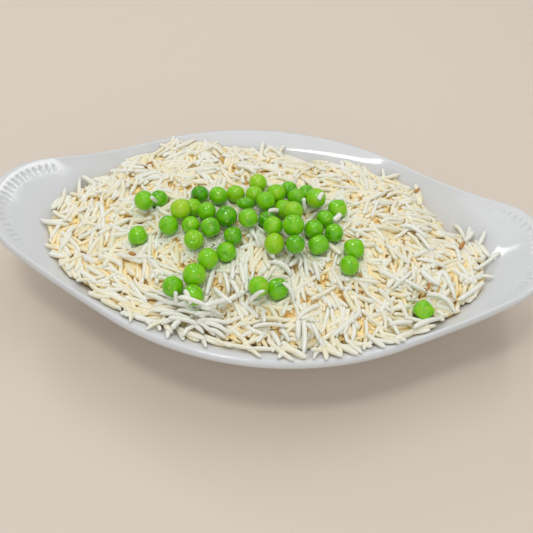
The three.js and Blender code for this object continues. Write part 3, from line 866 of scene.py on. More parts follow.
def on_level(px, py, height):
    """The point at a height that shows at a place in the picture."""
    along = sight(px, py)
    point = EYE + along * ((height - EYE.z) / along.z)
    return np.array(point)


def propose(places, rng, rice, headings, spread, shares=KIND_SHARES):
    """Many grains over the marked places, each with a kind, size, place in plan and bow."""
    rows, columns = np.nonzero(places)
    if len(rows) == 0:
        return None
    kind = rng.choice(len(KINDS), size=PROPOSALS, p=shares)
    size = {}
    for key in ("length", "thick", "bow"):
        mean, deviation = np.array([one[key] for one in KINDS.values()])[kind].T
        size[key] = rng.normal(mean, deviation)
    half = np.maximum(size["length"], 3) / 2 * rice.length_share
    pick = rng.integers(len(rows), size=PROPOSALS)
    x = PLAN_X[columns[pick]] + rng.uniform(-PITCH, PITCH, PROPOSALS)
    y = PLAN_Y[rows[pick]] + rng.uniform(-PITCH, PITCH, PROPOSALS)
    angle = headings[rows[pick], columns[pick]] + rng.normal(0, spread, PROPOSALS)
    lean = rng.normal(0, 0.8, PROPOSALS)
    return {
        "kind": kind, "half": half, "thick": size["thick"], "x": x, "y": y,
        "ahead": np.column_stack([np.cos(angle), np.sin(angle)]),
        "bow_side": size["bow"] * np.cos(lean) * rng.choice([-1, 1], PROPOSALS),
        "bow_up": -abs(size["bow"]) * np.sin(lean),
    }


def settle(bed, ground, rng, rice, grains):
    """Each proposed grain's slope, height and score. A low score lies deep, and is laid first.

    A grain rests on the two points under it that hold it highest, or stays stuck at a tilt."""
    half = grains["half"][:, None]
    ahead, bow_side, bow_up = grains["ahead"], grains["bow_side"][:, None], grains["bow_up"][:, None]
    x = grains["x"][:, None] + ahead[:, :1] * half * SAMPLES - ahead[:, 1:] * bow_side * ARCH
    y = grains["y"][:, None] + ahead[:, 1:] * half * SAMPLES + ahead[:, :1] * bow_side * ARCH
    cells = plan_cell(x, y)
    arch = bow_up * ARCH
    held = ground[cells] - arch
    span = (SAMPLES[RIGHT][None, :] - SAMPLES[LEFT][:, None]) * half[:, :, None]
    rise = (held[:, None, RIGHT] - held[:, LEFT, None]) / span
    middle = held[:, LEFT, None] - rise * SAMPLES[LEFT][:, None] * half[:, :, None]
    count = len(half)
    best = middle.reshape(count, -1).argmax(axis=1)
    slope = rise.reshape(count, -1)[np.arange(count), best]
    stuck = rng.random(count) < rice.tilted_share
    slope = np.where(stuck, np.tan(rng.normal(0, TILT, count)), slope)
    slope = np.clip(slope, -STEEPEST_GRAIN, STEEPEST_GRAIN)
    line = slope[:, None] * half * SAMPLES
    sink = np.where(stuck, rng.uniform(*STUCK_SINK, count), rng.uniform(*RESTING_SINK, count))
    z = (held - line).max(axis=1) - sink
    z = np.maximum(z, (bed.porcelain[cells] - arch - line).max(axis=1))
    height = z[:, None] + line + arch
    ends = (cells[0][:, [0, -1]], cells[1][:, [0, -1]])
    proud = height[:, [0, -1]] - np.maximum(bed.target[ends], bed.porcelain[ends] + WALL_GAP)
    allowed = rng.choice(PROUD_ENDS, size=count, p=PROUD_CHANCES)
    excess = np.maximum(proud.max(axis=1) - allowed, 0)
    blocked = (height > bed.roof[cells]).any(axis=1)
    depth = bed.target[plan_cell(grains["x"], grains["y"])] - z
    short = np.maximum(USUAL_HALF - grains["half"], 0)
    unfit = PROUD_COST * excess + BLOCKED_COST * blocked
    score = unfit - depth + SHORT_COST * short + rng.uniform(0, CHANCE, count)
    return {**grains, "slope": slope, "z": z, "score": score, "unfit": unfit, "cells": cells}


def pick_apart(grains):
    """The best of the proposed grains that stay clear of each other in plan."""
    rows, columns = grains["cells"][0] // BUSY_CELL + 1, grains["cells"][1] // BUSY_CELL + 1
    busy = np.zeros((rows.max() + 3, columns.max() + 3), bool)
    picked = []
    for i in np.argsort(grains["score"]):
        if grains["score"][i] > WORST_SCORE or len(picked) >= MOST_LAID_AT_ONCE:
            break
        if busy[rows[i], columns[i]].any():
            continue
        for row_step in (-1, 0, 1):
            for column_step in (-1, 0, 1):
                busy[rows[i] + row_step, columns[i] + column_step] = True
        picked.append(i)
    return picked


def keep(bed, grains, i):
    """One settled grain as it is laid, after raising the ground over it."""
    ahead = grains["ahead"][i]
    heading = np.array([*ahead, grains["slope"][i]])
    side, up = grains["bow_side"][i], grains["bow_up"][i]
    grain = {
        "kind": int(grains["kind"][i]),
        "centre": np.array([grains["x"][i], grains["y"][i], grains["z"][i]]),
        "heading": heading / np.linalg.norm(heading),
        "bow": np.array([-ahead[1] * side, ahead[0] * side, up]),
        "half": grains["half"][i],
        "thick": grains["thick"][i],
        "shown": False,
    }
    bed.heap_over(grain)
    return grain


def lay_heap(bed, rice):
    """Lays grains in the lowest places first until the heap is full, then loose ones across them."""
    rng = np.random.default_rng(rice.seed)
    headings = bundle_headings(rng)
    laid = []
    idle = 0
    wanted = bed.target - TOP_ROOM * near_segments(bed)
    while len(laid) < rice.grain_count and idle < IDLE_ROUNDS:
        grains = propose(wanted - bed.ground > NO_ROOM, rng, rice, headings, HEAP_STRAY)
        if grains is None:
            break
        grains = settle(bed, bed.ground, rng, rice, grains)
        picked = pick_apart(grains)
        idle = idle + 1 if len(picked) < FEWEST_LAID else 0
        laid += [keep(bed, grains, i) for i in picked]
    inside = bed.wanted & (bed.target > bed.porcelain + WALL_GAP)
    under = [float(name == "rice_under") for name in KIND_NAMES]
    for _ in range(GAP_ROUNDS):
        gaps = inside & (wanted - bed.surface > GAP_TOO_DEEP)
        grains = propose(gaps, rng, rice, headings, GAP_STRAY, under)
        if grains is None:
            break
        pressed = wanted - rng.uniform(*UNDER_DEPTH)
        grains = settle(bed, pressed, rng, rice, grains)
        steep = grains["slope"] ** 2 > STEEP_SQUARE
        grains["score"] = grains["unfit"] + rng.uniform(0, GAP_CHANCE, PROPOSALS) + STEEP_COST * steep
        laid += [keep(bed, grains, i) for i in pick_apart(grains)]
    bed.target += LOOSE_LIFT
    for _ in range(LOOSE_ROUNDS):
        grains = propose(bed.target - bed.ground > NO_ROOM, rng, rice, headings, LOOSE_STRAY)
        grains = settle(bed, bed.ground, rng, rice, grains)
        grains["score"] += rng.uniform(0, LOOSE_CHANCE, PROPOSALS)
        laid += [keep(bed, grains, i) for i in pick_apart(grains)[:LOOSE_GRAINS // LOOSE_ROUNDS]]
    bed.target -= LOOSE_LIFT
    bed.close_up()
    return laid + lay_shown_grains(bed, rng)


def on_heights(heights, px, py):
    """Where the sight line through a place in the picture first meets a surface given by its heights."""
    along = np.array(sight(px, py))
    steps = np.arange(0, SIGHT_TOP, SIGHT_STEP)[:, None] / -along[2]
    start = np.array(EYE) + along * ((SIGHT_TOP - EYE.z) / along[2])
    points = start + along * steps
    under = np.nonzero(points[:, 2] <= heights[plan_cell(points[:, 0], points[:, 1])])[0]
    return points[under[0]] if len(under) else points[-1]


def near_segments(bed):
    """1 where the grains placed by the picture will lie and 0 elsewhere, on the grid."""
    near = np.zeros(bed.target.shape)
    for x0, y0, x1, y1, *_ in SHOWN_GRAINS:
        ends = [on_heights(bed.target, x0, y0), on_heights(bed.target, x1, y1)]
        for share in np.linspace(0, 1, SHOWN_PLACES):
            place = lerp(*ends, share)
            near[np.hypot(*offsets_from(place)) < SHOWN_REACH] = 1
    return near


def lay_shown_grains(bed, rng):
    """Lays the grains that the picture singles out, each between two places in it, on what lies below."""
    laid = []
    domes = np.full(bed.ground.shape, OUTSIDE)
    for centre, radius in bed.peas.values():
        x, y = offsets_from(centre)
        room = (radius + GRAIN_RADIUS * SNUG) ** 2 - (x**2 + y**2)
        domes = np.where(room > 0, np.maximum(domes, centre[2] + np.sqrt(np.maximum(room, 0))), domes)
    for x0, y0, x1, y1, middle, lift, *on_peas in SHOWN_GRAINS:
        held = np.maximum(bed.ground, domes) if on_peas else bed.ground
        first, last = on_heights(held, x0, y0), on_heights(held, x1, y1)
        half = np.linalg.norm(last - first) / 2
        heading = (last - first) / (2 * half)
        along = np.array(sight((x0 + x1) / 2, (y0 + y1) / 2))
        aside = unit(np.cross(heading, along))
        bow = -(aside * middle + np.array([0, 0, lift]))
        centre = (first + last) / 2 - bow * 2 / 3 + along * APPROACH_START
        line = heading * half * FINE_SAMPLES[:, None] + bow * FINE_ARCH[:, None]
        # From inside the heap the grain comes towards the eye until it only just touches what is below.
        for _ in range(APPROACH_STEPS):
            points = centre + line
            if (held[plan_cell(points[:, 0], points[:, 1])] - points[:, 2]).max() < SHOWN_SINK:
                break
            centre = centre - along * APPROACH_STEP
        grain = {
            "kind": KIND_NAMES.index("rice_broken" if half < SHOWN_BROKEN else "rice_curved"),
            "centre": centre, "heading": heading, "bow": bow, "half": half,
            "thick": rng.normal(*SHOWN_THICK), "shown": True,
        }
        bed.heap_over(grain)
        laid.append(grain)
    return laid


CORE_STATIONS = 220  # lines of points from the core's middle to its edge
CORE_RINGS = 84
CORE_CENTRE = (-0.5, -2.5)
CORE_REACHES = np.arange(2, 125, 0.5)  # where its edge is looked for
CORE_OFF_DISH = 0.3
CORE_EDGE = 0.2  # its thickness where it ends
CORE_THINNEST = 0.02
CORE_WAVES = 9
CORE_WAVE_LENGTHS = (1.6, 3.2)
CORE_WAVE_HEIGHT = 0.14  # of each wave


def make_core(bed):
    """The heap's inside: a closed lens of packed rice, whose uneven top shows between the grains."""
    stations, rings = CORE_STATIONS, CORE_RINGS
    centre = np.array(CORE_CENTRE)
    under = bed.floor + CORE_OFF_DISH
    waves = draw_waves(np.random.default_rng(5), CORE_WAVES, CORE_WAVE_LENGTHS, 6.3)
    top_points, bottom_points = [], []
    for angle in np.linspace(0, 2 * math.pi, stations, endpoint=False):
        ahead = np.array([math.cos(angle), math.sin(angle)])
        cells = plan_cell(centre[0] + CORE_REACHES * ahead[0], centre[1] + CORE_REACHES * ahead[1])
        open_air = np.nonzero((bed.core[cells] - under[cells] < CORE_EDGE) | ~bed.wanted[cells])[0]
        edge = CORE_REACHES[open_air[0] if len(open_air) else -1]
        share = (np.arange(1, rings + 1) / rings)[:, None]
        plan = centre + ahead * edge * share
        cells = plan_cell(plan[:, 0], plan[:, 1])
        relief = sum_waves(waves, plan[:, 0], plan[:, 1]) * CORE_WAVE_HEIGHT
        top = np.maximum(bed.core[cells] + relief, under[cells] + CORE_THINNEST)
        top_points.append(np.column_stack([plan, top]))
        bottom = np.minimum(under[cells], top - CORE_THINNEST)
        bottom_points.append(np.column_stack([plan, bottom])[:-1])
    row, column = plan_cell(*centre)
    points = [(*centre, bed.core[row, column])]
    points += [p for line in top_points for p in line]
    first_bottom = len(points)
    points += [p for line in bottom_points for p in line]
    points.append((*centre, under[row, column]))
    low = len(points) - 1
    faces = []
    for s in range(stations):
        n = (s + 1) % stations
        a, b = 1 + s * rings, 1 + n * rings
        c, d = first_bottom + s * (rings - 1), first_bottom + n * (rings - 1)
        faces.append((0, a, b))
        faces.append((low, d, c))
        for i in range(rings - 1):
            faces.append((a + i, a + i + 1, b + i + 1, b + i))
        for i in range(rings - 2):
            faces.append((c + i, d + i, d + i + 1, c + i + 1))
        faces.append((c + rings - 2, d + rings - 2, b + rings - 1, a + rings - 1))
    obj = new_mesh("rice_core", points, faces)
    obj.data.materials.append(packed_rice())
    return finish_piece(obj, ["rice"])


def shade_depth(obj, bed):
    """Tells the material how far each point of a grain lies below the rice's skin: the material paints
    shade by it, cream and then golden deeper down.
    """
    points = np.empty(len(obj.data.vertices) * 3, np.float32)
    obj.data.vertices.foreach_get("co", points)
    points = points.reshape(-1, 3) / MM
    depth = bed.skin[plan_cell(points[:, 0], points[:, 1])] - points[:, 2]
    set_attribute(obj, "depth", "FLOAT", np.clip(depth / GOLDEN_SHADE_DEPTH, 0, 1))


def make_rice():
    rice = settings()
    bed = Bed(bpy.data.objects["dish_glazed"])
    laid = lay_heap(bed, rice)
    bed.seed_rest = bed.surface + SEED_RADIUS
    Bed.laid = bed
    make_core(bed)
    tree = grain_tree(boiled_rice())
    rng = np.random.default_rng(rice.seed + 1)
    for kind, name in enumerate(KIND_NAMES):
        some = [grain for grain in laid if grain["kind"] == kind]
        grains = {key: np.array([grain[key] for grain in some]) for key in some[0]}
        inputs = {"Unevenness": rice.unevenness, "Lump size": LUMP_SIZE * MM}
        obj = scatter(name, grain_shape(name), with_looks(rng, grains), tree, inputs)
        shade_depth(obj, bed)
        finish_piece(obj, ["rice"])


# ---------------------------------------------------------------- peas
# What the picture shows of each pea. Places are in radii right and up of the pea's middle as seen.
# ripeness: 0 deep green, 1 yellow-green. scar: where the pale mark of its stalk is. rings: how far
# (degrees) from the scar the skin is creased, and how deep (radii). dents: place, width, depth.
# squash: a direction in which the pea is flatter (-) or longer (+), and by how much.
# square: how boxy it is, and the turn of its sides (degrees).
PEA_LOOKS = {
    1: {"ripeness": 0.5, "dents": [(0.2, 0.9, 0.3, 0.03)]},
    2: {"ripeness": 0.3},
    3: {"ripeness": 0.5, "squash": (0.25, 0.8, 0.12),
        "dents": [(0.0, -1.0, 0.5, 0.2), (0.9, 0.5, 0.4, 0.06)]},
    4: {"ripeness": 0.42, "dents": [(-0.3, 0.5, 0.3, 0.03)]},
    5: {"ripeness": 0.9, "scar": (-0.05, -0.15), "rings": [(22, 0.03), (36, 0.03)],
        "squash": (0.7, 0.6, 0.06)},
    6: {"ripeness": 0.7, "dents": [(0.4, 0.2, 0.25, 0.05)]},
    7: {"ripeness": 0.12, "brown": (-0.45, -0.5)},
    8: {"ripeness": 0.4, "scar": (0.1, 0.2), "rings": [(30, 0.03)], "squash": (0.5, -0.4, 0.06)},
    9: {"ripeness": 0.66, "scar": (0.2, 0.5), "squash": (0.9, -0.2, 0.06)},
    10: {"ripeness": 0.8, "squash": (0, 1, 0.04)},
    11: {"ripeness": 0.55, "scar": (0.0, 0.0), "rings": [(24, 0.05), (48, 0.04)]},
    12: {"ripeness": 0.45, "dents": [(-0.6, -0.4, 0.3, 0.03)]},
    13: {"ripeness": 0.35, "dents": [(0.15, 0.15, 0.26, 0.12), (-0.4, -0.3, 0.3, 0.06)],
         "rings": [(40, 0.05)], "scar": (0.15, 0.2), "square": (0.3, 30)},
    14: {"ripeness": 0.15, "rings": [(58, 0.04)], "scar": (0.1, -0.5)},
    15: {"ripeness": 0.6, "scar": (0.15, 0.2), "rings": [(26, 0.06), (50, 0.05)]},
    16: {"ripeness": 0.55, "squash": (0.3, 1, 0.03)},
    17: {"ripeness": 0.5, "scar": (0.4, 0.55), "rings": [(24, 0.05), (40, 0.07), (60, 0.05)],
         "dents": [(-0.1, -0.25, 0.2, 0.1)]},
    18: {"ripeness": 0.25, "dents": [(0.5, 0.4, 0.3, 0.05), (-0.5, -0.2, 0.3, 0.04)], "square": (0.2, 10)},
    19: {"ripeness": 0.3, "squash": (0.05, 1, -0.32), "dents": [(0, 0.3, 0.3, 0.04)]},
    20: {"ripeness": 0.5, "scar": (-0.1, 0.0), "rings": [(35, 0.02)], "square": (0.3, 20)},
    21: {"ripeness": 0.7, "scar": (0.1, 0.0)},
    22: {"ripeness": 0.5, "dents": [(0.0, -0.9, 0.4, 0.04)]},
    23: {"ripeness": 0.65, "squash": (1, -0.1, 0.05)},
    24: {"ripeness": 0.35, "dents": [(0.2, 0.3, 0.3, 0.08)]},
    25: {"ripeness": 0.6, "scar": (0.5, 0.5), "rings": [(45, 0.03)]},
    26: {"ripeness": 0.4, "scar": (0.3, 0.1), "rings": [(20, 0.04), (38, 0.04)]},
    27: {"ripeness": 0.7, "rings": [(35, 0.03)], "scar": (0.2, 0.7)},
    28: {"ripeness": 0.22, "dents": [(0.2, 0.4, 0.4, 0.12)], "rings": [(40, 0.06)], "scar": (0.2, 0.6)},
    29: {"ripeness": 0.6, "scar": (0.3, 0.2), "rings": [(26, 0.03)]},
    30: {"ripeness": 0.45, "scar": (0.0, 0.65), "rings": [(22, 0.04), (38, 0.06)]},
    31: {"ripeness": 0.85, "scar": (0.1, 0.55), "squash": (0, 1, 0.1), "dents": [(0.4, -0.3, 0.25, 0.03)]},
    32: {"ripeness": 0.2, "dents": [(-0.3, 0.7, 0.3, 0.04)], "square": (0.2, 0)},
    33: {"ripeness": 0.58, "dents": [(0.5, 0.6, 0.3, 0.03)]},
    34: {"ripeness": 0.38, "scar": (-0.2, -0.1), "rings": [(20, 0.06), (50, 0.04)]},
    35: {"ripeness": 0.5, "squash": (-0.5, 0.7, 0.1), "dents": [(0.7, 0.5, 0.4, 0.06)]},
    36: {"ripeness": 0.55, "scar": (0.5, 0.2), "rings": [(28, 0.05), (48, 0.04)]},
    37: {"ripeness": 0.3, "scar": (0.25, 0.75), "rings": [(30, 0.09)], "dents": [(0.1, -0.1, 0.3, 0.04)]},
    38: {"ripeness": 0.35, "dents": [(0.1, 0.1, 0.3, 0.05)]},
    39: {"ripeness": 0.66, "dents": [(-0.2, 0.2, 0.3, 0.03)]},
    40: {"ripeness": 0.55, "scar": (0.4, 0.1), "square": (0.4, 10)},
    41: {"ripeness": 0.35, "scar": (0.3, 0.0), "rings": [(35, 0.04)], "squash": (0.7, -0.5, 0.08)},
    42: {"ripeness": 0.35},
    43: {"ripeness": 0.35, "dents": [(-0.75, -0.2, 0.18, 0.12)]},
    44: {"ripeness": 0.42, "squash": (1, 0.4, 0.08), "square": (0.5, 25)},
    45: {"ripeness": 0.45, "square": (0.45, 5), "dents": [(0.3, 0.0, 0.3, 0.03)]},
    46: {"ripeness": 0.45, "scar": (0.4, 0.3), "rings": [(42, 0.05)], "squash": (0.1, 1, 0.05)},
    47: {"ripeness": 0.5, "square": (0.75, 42), "scar": (0.1, 0.3), "rings": [(28, 0.03), (52, 0.03)]},
}


SCAR_WIDTH = 8  # degrees
CREASE_WIDTH = 5  # degrees
CREASE_WANDER = (9, 6)  # degrees to and fro, once and twice in a turn about the scar
CREASE_DEPTH = 1.6  # times the depth given
CREASE_PALE = 0.25  # how pale the skin is beside a crease
PALE_OFF_CREASE = 7  # degrees from the crease to the palest skin
DENT_DEPTH = 1.4  # times the depth given
CHANCE_DENTS = 4  # shallow dents on every pea
CHANCE_DENT_DEPTH = 0.05
CHANCE_DENT_SIZE = 0.12
BROWN_SIZE = 0.07


def seen_on_ball(right, up):
    """The direction from a ball's middle to the point of it that shows at a place, in radii."""
    towards = math.sqrt(max(1 - right * right - up * up, 0.0))
    return unit(np.array(EYE_RIGHT * right + EYE_UP * up + EYE_BACK * towards))


def pea_form(looks, directions, rng):
    """A pea's surface for a radius of 1, with how pale and how brown the skin is at each point."""
    lift = np.ones(len(directions))
    pale = np.zeros(len(directions))
    scar = seen_on_ball(*looks["scar"]) if "scar" in looks else unit(rng.normal(size=3))
    away = np.degrees(np.arccos(np.clip(directions @ scar, -1, 1)))
    aside = unit(np.cross(scar, (0.3, 0.5, 0.8)))
    round_scar = np.arctan2(directions @ np.cross(scar, aside), directions @ aside)
    for angle, depth in looks.get("rings", [(rng.uniform(30, 60), 0.015)]):
        turns = rng.uniform(0, 2 * math.pi, 3)
        once, twice = CREASE_WANDER
        wander = once * np.sin(round_scar + turns[0]) + twice * np.sin(2 * round_scar + turns[1])
        # A crease is deep on one side of the scar and almost gone on the other.
        strength = np.clip(0.45 + 0.9 * np.sin(round_scar + turns[2]), 0.1, 1)
        off = away + wander - angle
        lift -= CREASE_DEPTH * depth * np.exp(-(off / CREASE_WIDTH) ** 2) * strength
        pale += CREASE_PALE * np.exp(-((off + PALE_OFF_CREASE) / CREASE_WIDTH) ** 2) * strength
    pale += np.exp(-((away / SCAR_WIDTH) ** 4))
    for right, up, width, depth in looks.get("dents", []):
        near = 1 - directions @ seen_on_ball(right, up)
        lift -= DENT_DEPTH * depth * np.exp(-near / width**2 * 2)
    for _ in range(CHANCE_DENTS):
        near = 1 - directions @ unit(rng.normal(size=3))
        lift -= rng.uniform(0, CHANCE_DENT_DEPTH) * np.exp(-near / CHANCE_DENT_SIZE)
    if "square" in looks:
        share, turn = looks["square"][0], math.radians(looks["square"][1])
        right = np.array(EYE_RIGHT) * math.cos(turn) + np.array(EYE_UP) * math.sin(turn)
        up = np.cross(np.array(EYE_BACK), right)
        sides = np.column_stack([directions @ right, directions @ up, directions @ np.array(EYE_BACK)])
        boxy = (sides**4).sum(axis=1) ** -0.25
        lift *= 1 + share * (boxy / boxy.mean() - 1)
    form = directions * lift[:, None]
    if "squash" in looks:
        right, up, amount = looks["squash"]
        along = unit(np.array(EYE_RIGHT * right + EYE_UP * up))
        form += np.outer(form @ along, along) * amount
    brown = np.zeros(len(directions))
    if "brown" in looks:
        brown = np.exp(-(1 - directions @ seen_on_ball(*looks["brown"])) / BROWN_SIZE)
    return form, np.clip(pale, 0, 1), brown


def make_peas():
    material = pea_skin()
    ball = bmesh.new()
    bmesh.ops.create_icosphere(ball, subdivisions=5, radius=1)
    for number, (name, (centre, radius)) in enumerate(peas_in_place().items(), 1):
        mesh = bpy.data.meshes.new(name + "_skin")
        ball.to_mesh(mesh)
        directions = unit(np.array([vertex.co for vertex in mesh.vertices]))
        looks = PEA_LOOKS[number]
        form, pale, brown = pea_form(looks, directions, np.random.default_rng(number))
        points = (centre + form * radius) * MM
        mesh.vertices.foreach_set("co", points.astype(np.float32).ravel())
        mesh.shade_smooth()
        mesh.update()
        obj = bpy.data.objects.new(name + "_skin", mesh)
        bpy.context.scene.collection.objects.link(obj)
        obj.data.materials.append(material)
        set_attribute(obj, "ripeness", "FLOAT", np.full(len(points), looks["ripeness"]))
        set_attribute(obj, "pale", "FLOAT", pale)
        set_attribute(obj, "brown", "FLOAT", brown)
        finish_piece(obj, [name])
    ball.free()


# ---------------------------------------------------------------- cumin seeds
# Both ends of each seed in the picture, its width (mm), and how far it is sunk into the rice (mm).
SHOWN_SEEDS = [
    (146.0, 164.6, 152.9, 161.8, 1.5, 0.1), (128.6, 253.0, 136.0, 255.0, 1.9, 0.3),
    (414.2, 192.5, 420.1, 188.5, 1.6, 0.1), (459.4, 249.8, 464.7, 241.2, 2.1, -0.2),
    (404.0, 240.5, 402.4, 246.5, 1.3, 1.0), (429.6, 282.5, 428.2, 289.2, 1.5, 0.8),
    (423.8, 288.2, 427.4, 291.0, 1.3, 1.0), (411.0, 297.6, 415.0, 302.0, 1.3, 0.9),
    (359.0, 272.5, 361.5, 277.5, 1.4, 1.0),
]
SEED_SIDES = 10
SEED_RADIUS = 0.7
SEED_FLATNESS = 0.85  # thickness beside width
SEED_BOW = 0.25
SEED_UNEVENNESS = 0.15
SEED_LUMP_SIZE = 1.5


def seed_shape():
    """A cumin seed of half length 1 along Z and half width 1: a spindle with five ridges."""
    places = np.array([-0.94, -0.78, -0.5, -0.1, 0.35, 0.7, 0.9])
    radii = (1 - np.abs(places) ** 2.2) ** 0.6
    return spindle(places, radii, np.where(np.arange(SEED_SIDES) % 2, 0.84, 1.0))


def lay_seeds(bed):
    """Lays each seed between the places where the picture shows its ends, half pressed into the rice."""
    seeds = {key: [] for key in ("centre", "heading", "side", "size", "bow", "tint")}
    for x0, y0, x1, y1, width, sunk in SHOWN_SEEDS:
        first, last = on_heights(bed.seed_rest, x0, y0), on_heights(bed.seed_rest, x1, y1)
        along = np.array(sight((x0 + x1) / 2, (y0 + y1) / 2))
        run = last - first
        # It leans only half as much towards or from the eye as the rice under its ends does.
        run -= along * (run @ along) * 0.5
        half = np.linalg.norm(run) / 2
        seeds["centre"].append((first + last) / 2 + along * sunk)
        seeds["heading"].append(run / (2 * half))
        seeds["side"].append(unit(np.cross(run, along)))
        seeds["size"].append((width / 2, width / 2 * SEED_FLATNESS, half))
        seeds["bow"].append((0, 0, SEED_BOW))
        # From seed to seed another tint between 0.25 and 0.75.
        seeds["tint"].append(0.25 + 0.5 * (len(seeds["tint"]) * 0.37 % 1))
    return {key: np.array(values, float) for key, values in seeds.items()}


def make_seeds():
    if Bed.laid is None:
        raise RuntimeError("The seeds lie on the rice, so the rice is made first.")
    tree = grain_tree(cumin_husk())
    inputs = {"Unevenness": SEED_UNEVENNESS * MM, "Lump size": SEED_LUMP_SIZE * MM}
    obj = scatter("cumin_seeds", seed_shape(), lay_seeds(Bed.laid), tree, inputs)
    finish_piece(obj, ["rice"])


# ---------------------------------------------------------------- materials
def new_material(name):
    material = bpy.data.materials.new(name)
    material.use_nodes = True
    material.node_tree.nodes.clear()
    return material, material.node_tree


def glazed_porcelain():
    """White porcelain under a clear glaze: neutral, hard, mirror-smooth, with a faint waviness."""
    material, tree = new_material("glazed_white_porcelain")
    place = add(tree, "ShaderNodeTexCoord").outputs["Object"]
    wave = add(tree, "ShaderNodeTexNoise", {"Vector": place, "Scale": 1 / (14 * MM), "Detail": 1.0})
    bump = add(tree, "ShaderNodeBump", {"Height": wave.outputs["Fac"], "Strength": 0.12,
                                        "Distance": 0.15 * MM})
    surface = add(tree, "ShaderNodeBsdfPrincipled", {
        "Base Color": (*settings().glaze_colour, 1), "Roughness": 0.09, "IOR": 1.5, "Normal": bump})
    add(tree, "ShaderNodeOutputMaterial", {"Surface": surface})
    return material


def boiled_rice():
    """Boiled basmati: white at the tips and edges, ivory inside, moist but not wet. Deeper below the rice's
    skin it turns cream and then golden: painted shade.
    """
    material, tree = new_material("boiled_basmati_rice")
    rice = settings()
    along, depth, tint = (add(tree, "ShaderNodeAttribute", attribute_name=name).outputs["Fac"]
                          for name in ("along", "depth", "tint"))
    tip = add(tree, "ShaderNodeMath", {0: along}, operation="ABSOLUTE")
    tip = add(tree, "ShaderNodeMapRange", {"Value": tip, 1: 0.55, 2: 1.0, 3: 0.0, 4: 0.8})
    # Painted shade: the deeper below the rice's skin, the more cream and then golden a grain is, as the
    # shade between the grains looks.
    warm = add(tree, "ShaderNodeMapRange", {"Value": depth, 1: 0.07, 2: 0.44})
    deep = add(tree, "ShaderNodeMapRange", {"Value": depth, 1: 0.45, 2: 0.95})
    colour = (*rice.ivory_colour, 1)
    for share, over in ((tint, rice.rice_colour), (tip, rice.rice_colour),
                        (warm, rice.cream_shade_colour), (deep, rice.golden_shade_colour)):
        mix = add(tree, "ShaderNodeMix", {"Factor": share, 6: colour, 7: (*over, 1)}, data_type="RGBA")
        colour = mix.outputs[2]
    surface = add(tree, "ShaderNodeBsdfPrincipled", {
        "Base Color": colour, "Roughness": 0.4, "IOR": 1.4})
    add(tree, "ShaderNodeOutputMaterial", {"Surface": surface})
    return material


def packed_rice():
    """The rice below the top grains: the same starch, coloured with painted shade, cream and golden in
    patches.
    """
    material, tree = new_material("painted_shade_packed_rice")
    rice = settings()
    place = add(tree, "ShaderNodeTexCoord").outputs["Object"]
    # Patches about 3 mm across, more or less golden: painted shade.
    oil = add(tree, "ShaderNodeTexNoise", {"Vector": place, "Scale": 1 / (3 * MM), "Detail": 1.0})
    share = add(tree, "ShaderNodeMapRange", {"Value": oil.outputs["Fac"], 1: 0.35, 2: 0.6})
    colours = {6: (*rice.cream_shade_colour, 1), 7: (*rice.golden_shade_colour, 1)}
    mix = add(tree, "ShaderNodeMix", {"Factor": share, **colours}, data_type="RGBA")
    surface = add(tree, "ShaderNodeBsdfPrincipled", {"Base Color": mix.outputs[2], "Roughness": 0.6})
    add(tree, "ShaderNodeOutputMaterial", {"Surface": surface})
    return material


def pea_skin():
    """A boiled garden pea: bright green, thin moist skin over pale flesh, pale where its stalk was."""
    material, tree = new_material("boiled_pea_skin")
    peas = settings()
    place = add(tree, "ShaderNodeTexCoord").outputs["Object"]
    ripeness, pale, brown = (add(tree, "ShaderNodeAttribute", attribute_name=name).outputs["Fac"]
                             for name in ("ripeness", "pale", "brown"))
    # Cloudy patches about 4 mm across, where the skin is thinner over the flesh.
    cloud = add(tree, "ShaderNodeTexNoise", {"Vector": place, "Scale": 1 / (4 * MM), "Detail": 2.0})
    cloud = add(tree, "ShaderNodeMapRange", {
        "Value": cloud.outputs["Fac"], 1: 0.3, 2: 0.7, 3: -0.22, 4: 0.22})
    shade = add(tree, "ShaderNodeMath", {0: ripeness, 1: cloud}, operation="ADD", use_clamp=True)
    low = add(tree, "ShaderNodeMapRange", {"Value": shade, 1: 0.0, 2: 0.5})
    high = add(tree, "ShaderNodeMapRange", {"Value": shade, 1: 0.5, 2: 1.0})
    pale = add(tree, "ShaderNodeMath", {0: pale, 1: 0.7}, operation="MULTIPLY")
    colour = (*peas.young_pea_colour, 1)
    for share, over in ((low, peas.pea_colour), (high, peas.ripe_pea_colour),
                        (pale, linear("#B9CC5A")), (brown, linear("#4A3A0C"))):
        mix = add(tree, "ShaderNodeMix", {"Factor": share, 6: colour, 7: (*over, 1)}, data_type="RGBA")
        colour = mix.outputs[2]
    # Fine wrinkles of the skin, about 0.8 mm apart.
    wrinkle = add(tree, "ShaderNodeTexNoise", {"Vector": place, "Scale": 1 / (0.8 * MM), "Detail": 1.0})
    bump = add(tree, "ShaderNodeBump", {"Height": wrinkle.outputs["Fac"], "Strength": 0.18,
                                        "Distance": 0.1 * MM})
    surface = add(tree, "ShaderNodeBsdfPrincipled", {
        "Base Color": colour, "Roughness": 0.15, "IOR": 1.5, "Normal": bump})
    add(tree, "ShaderNodeOutputMaterial", {"Surface": surface})
    return material


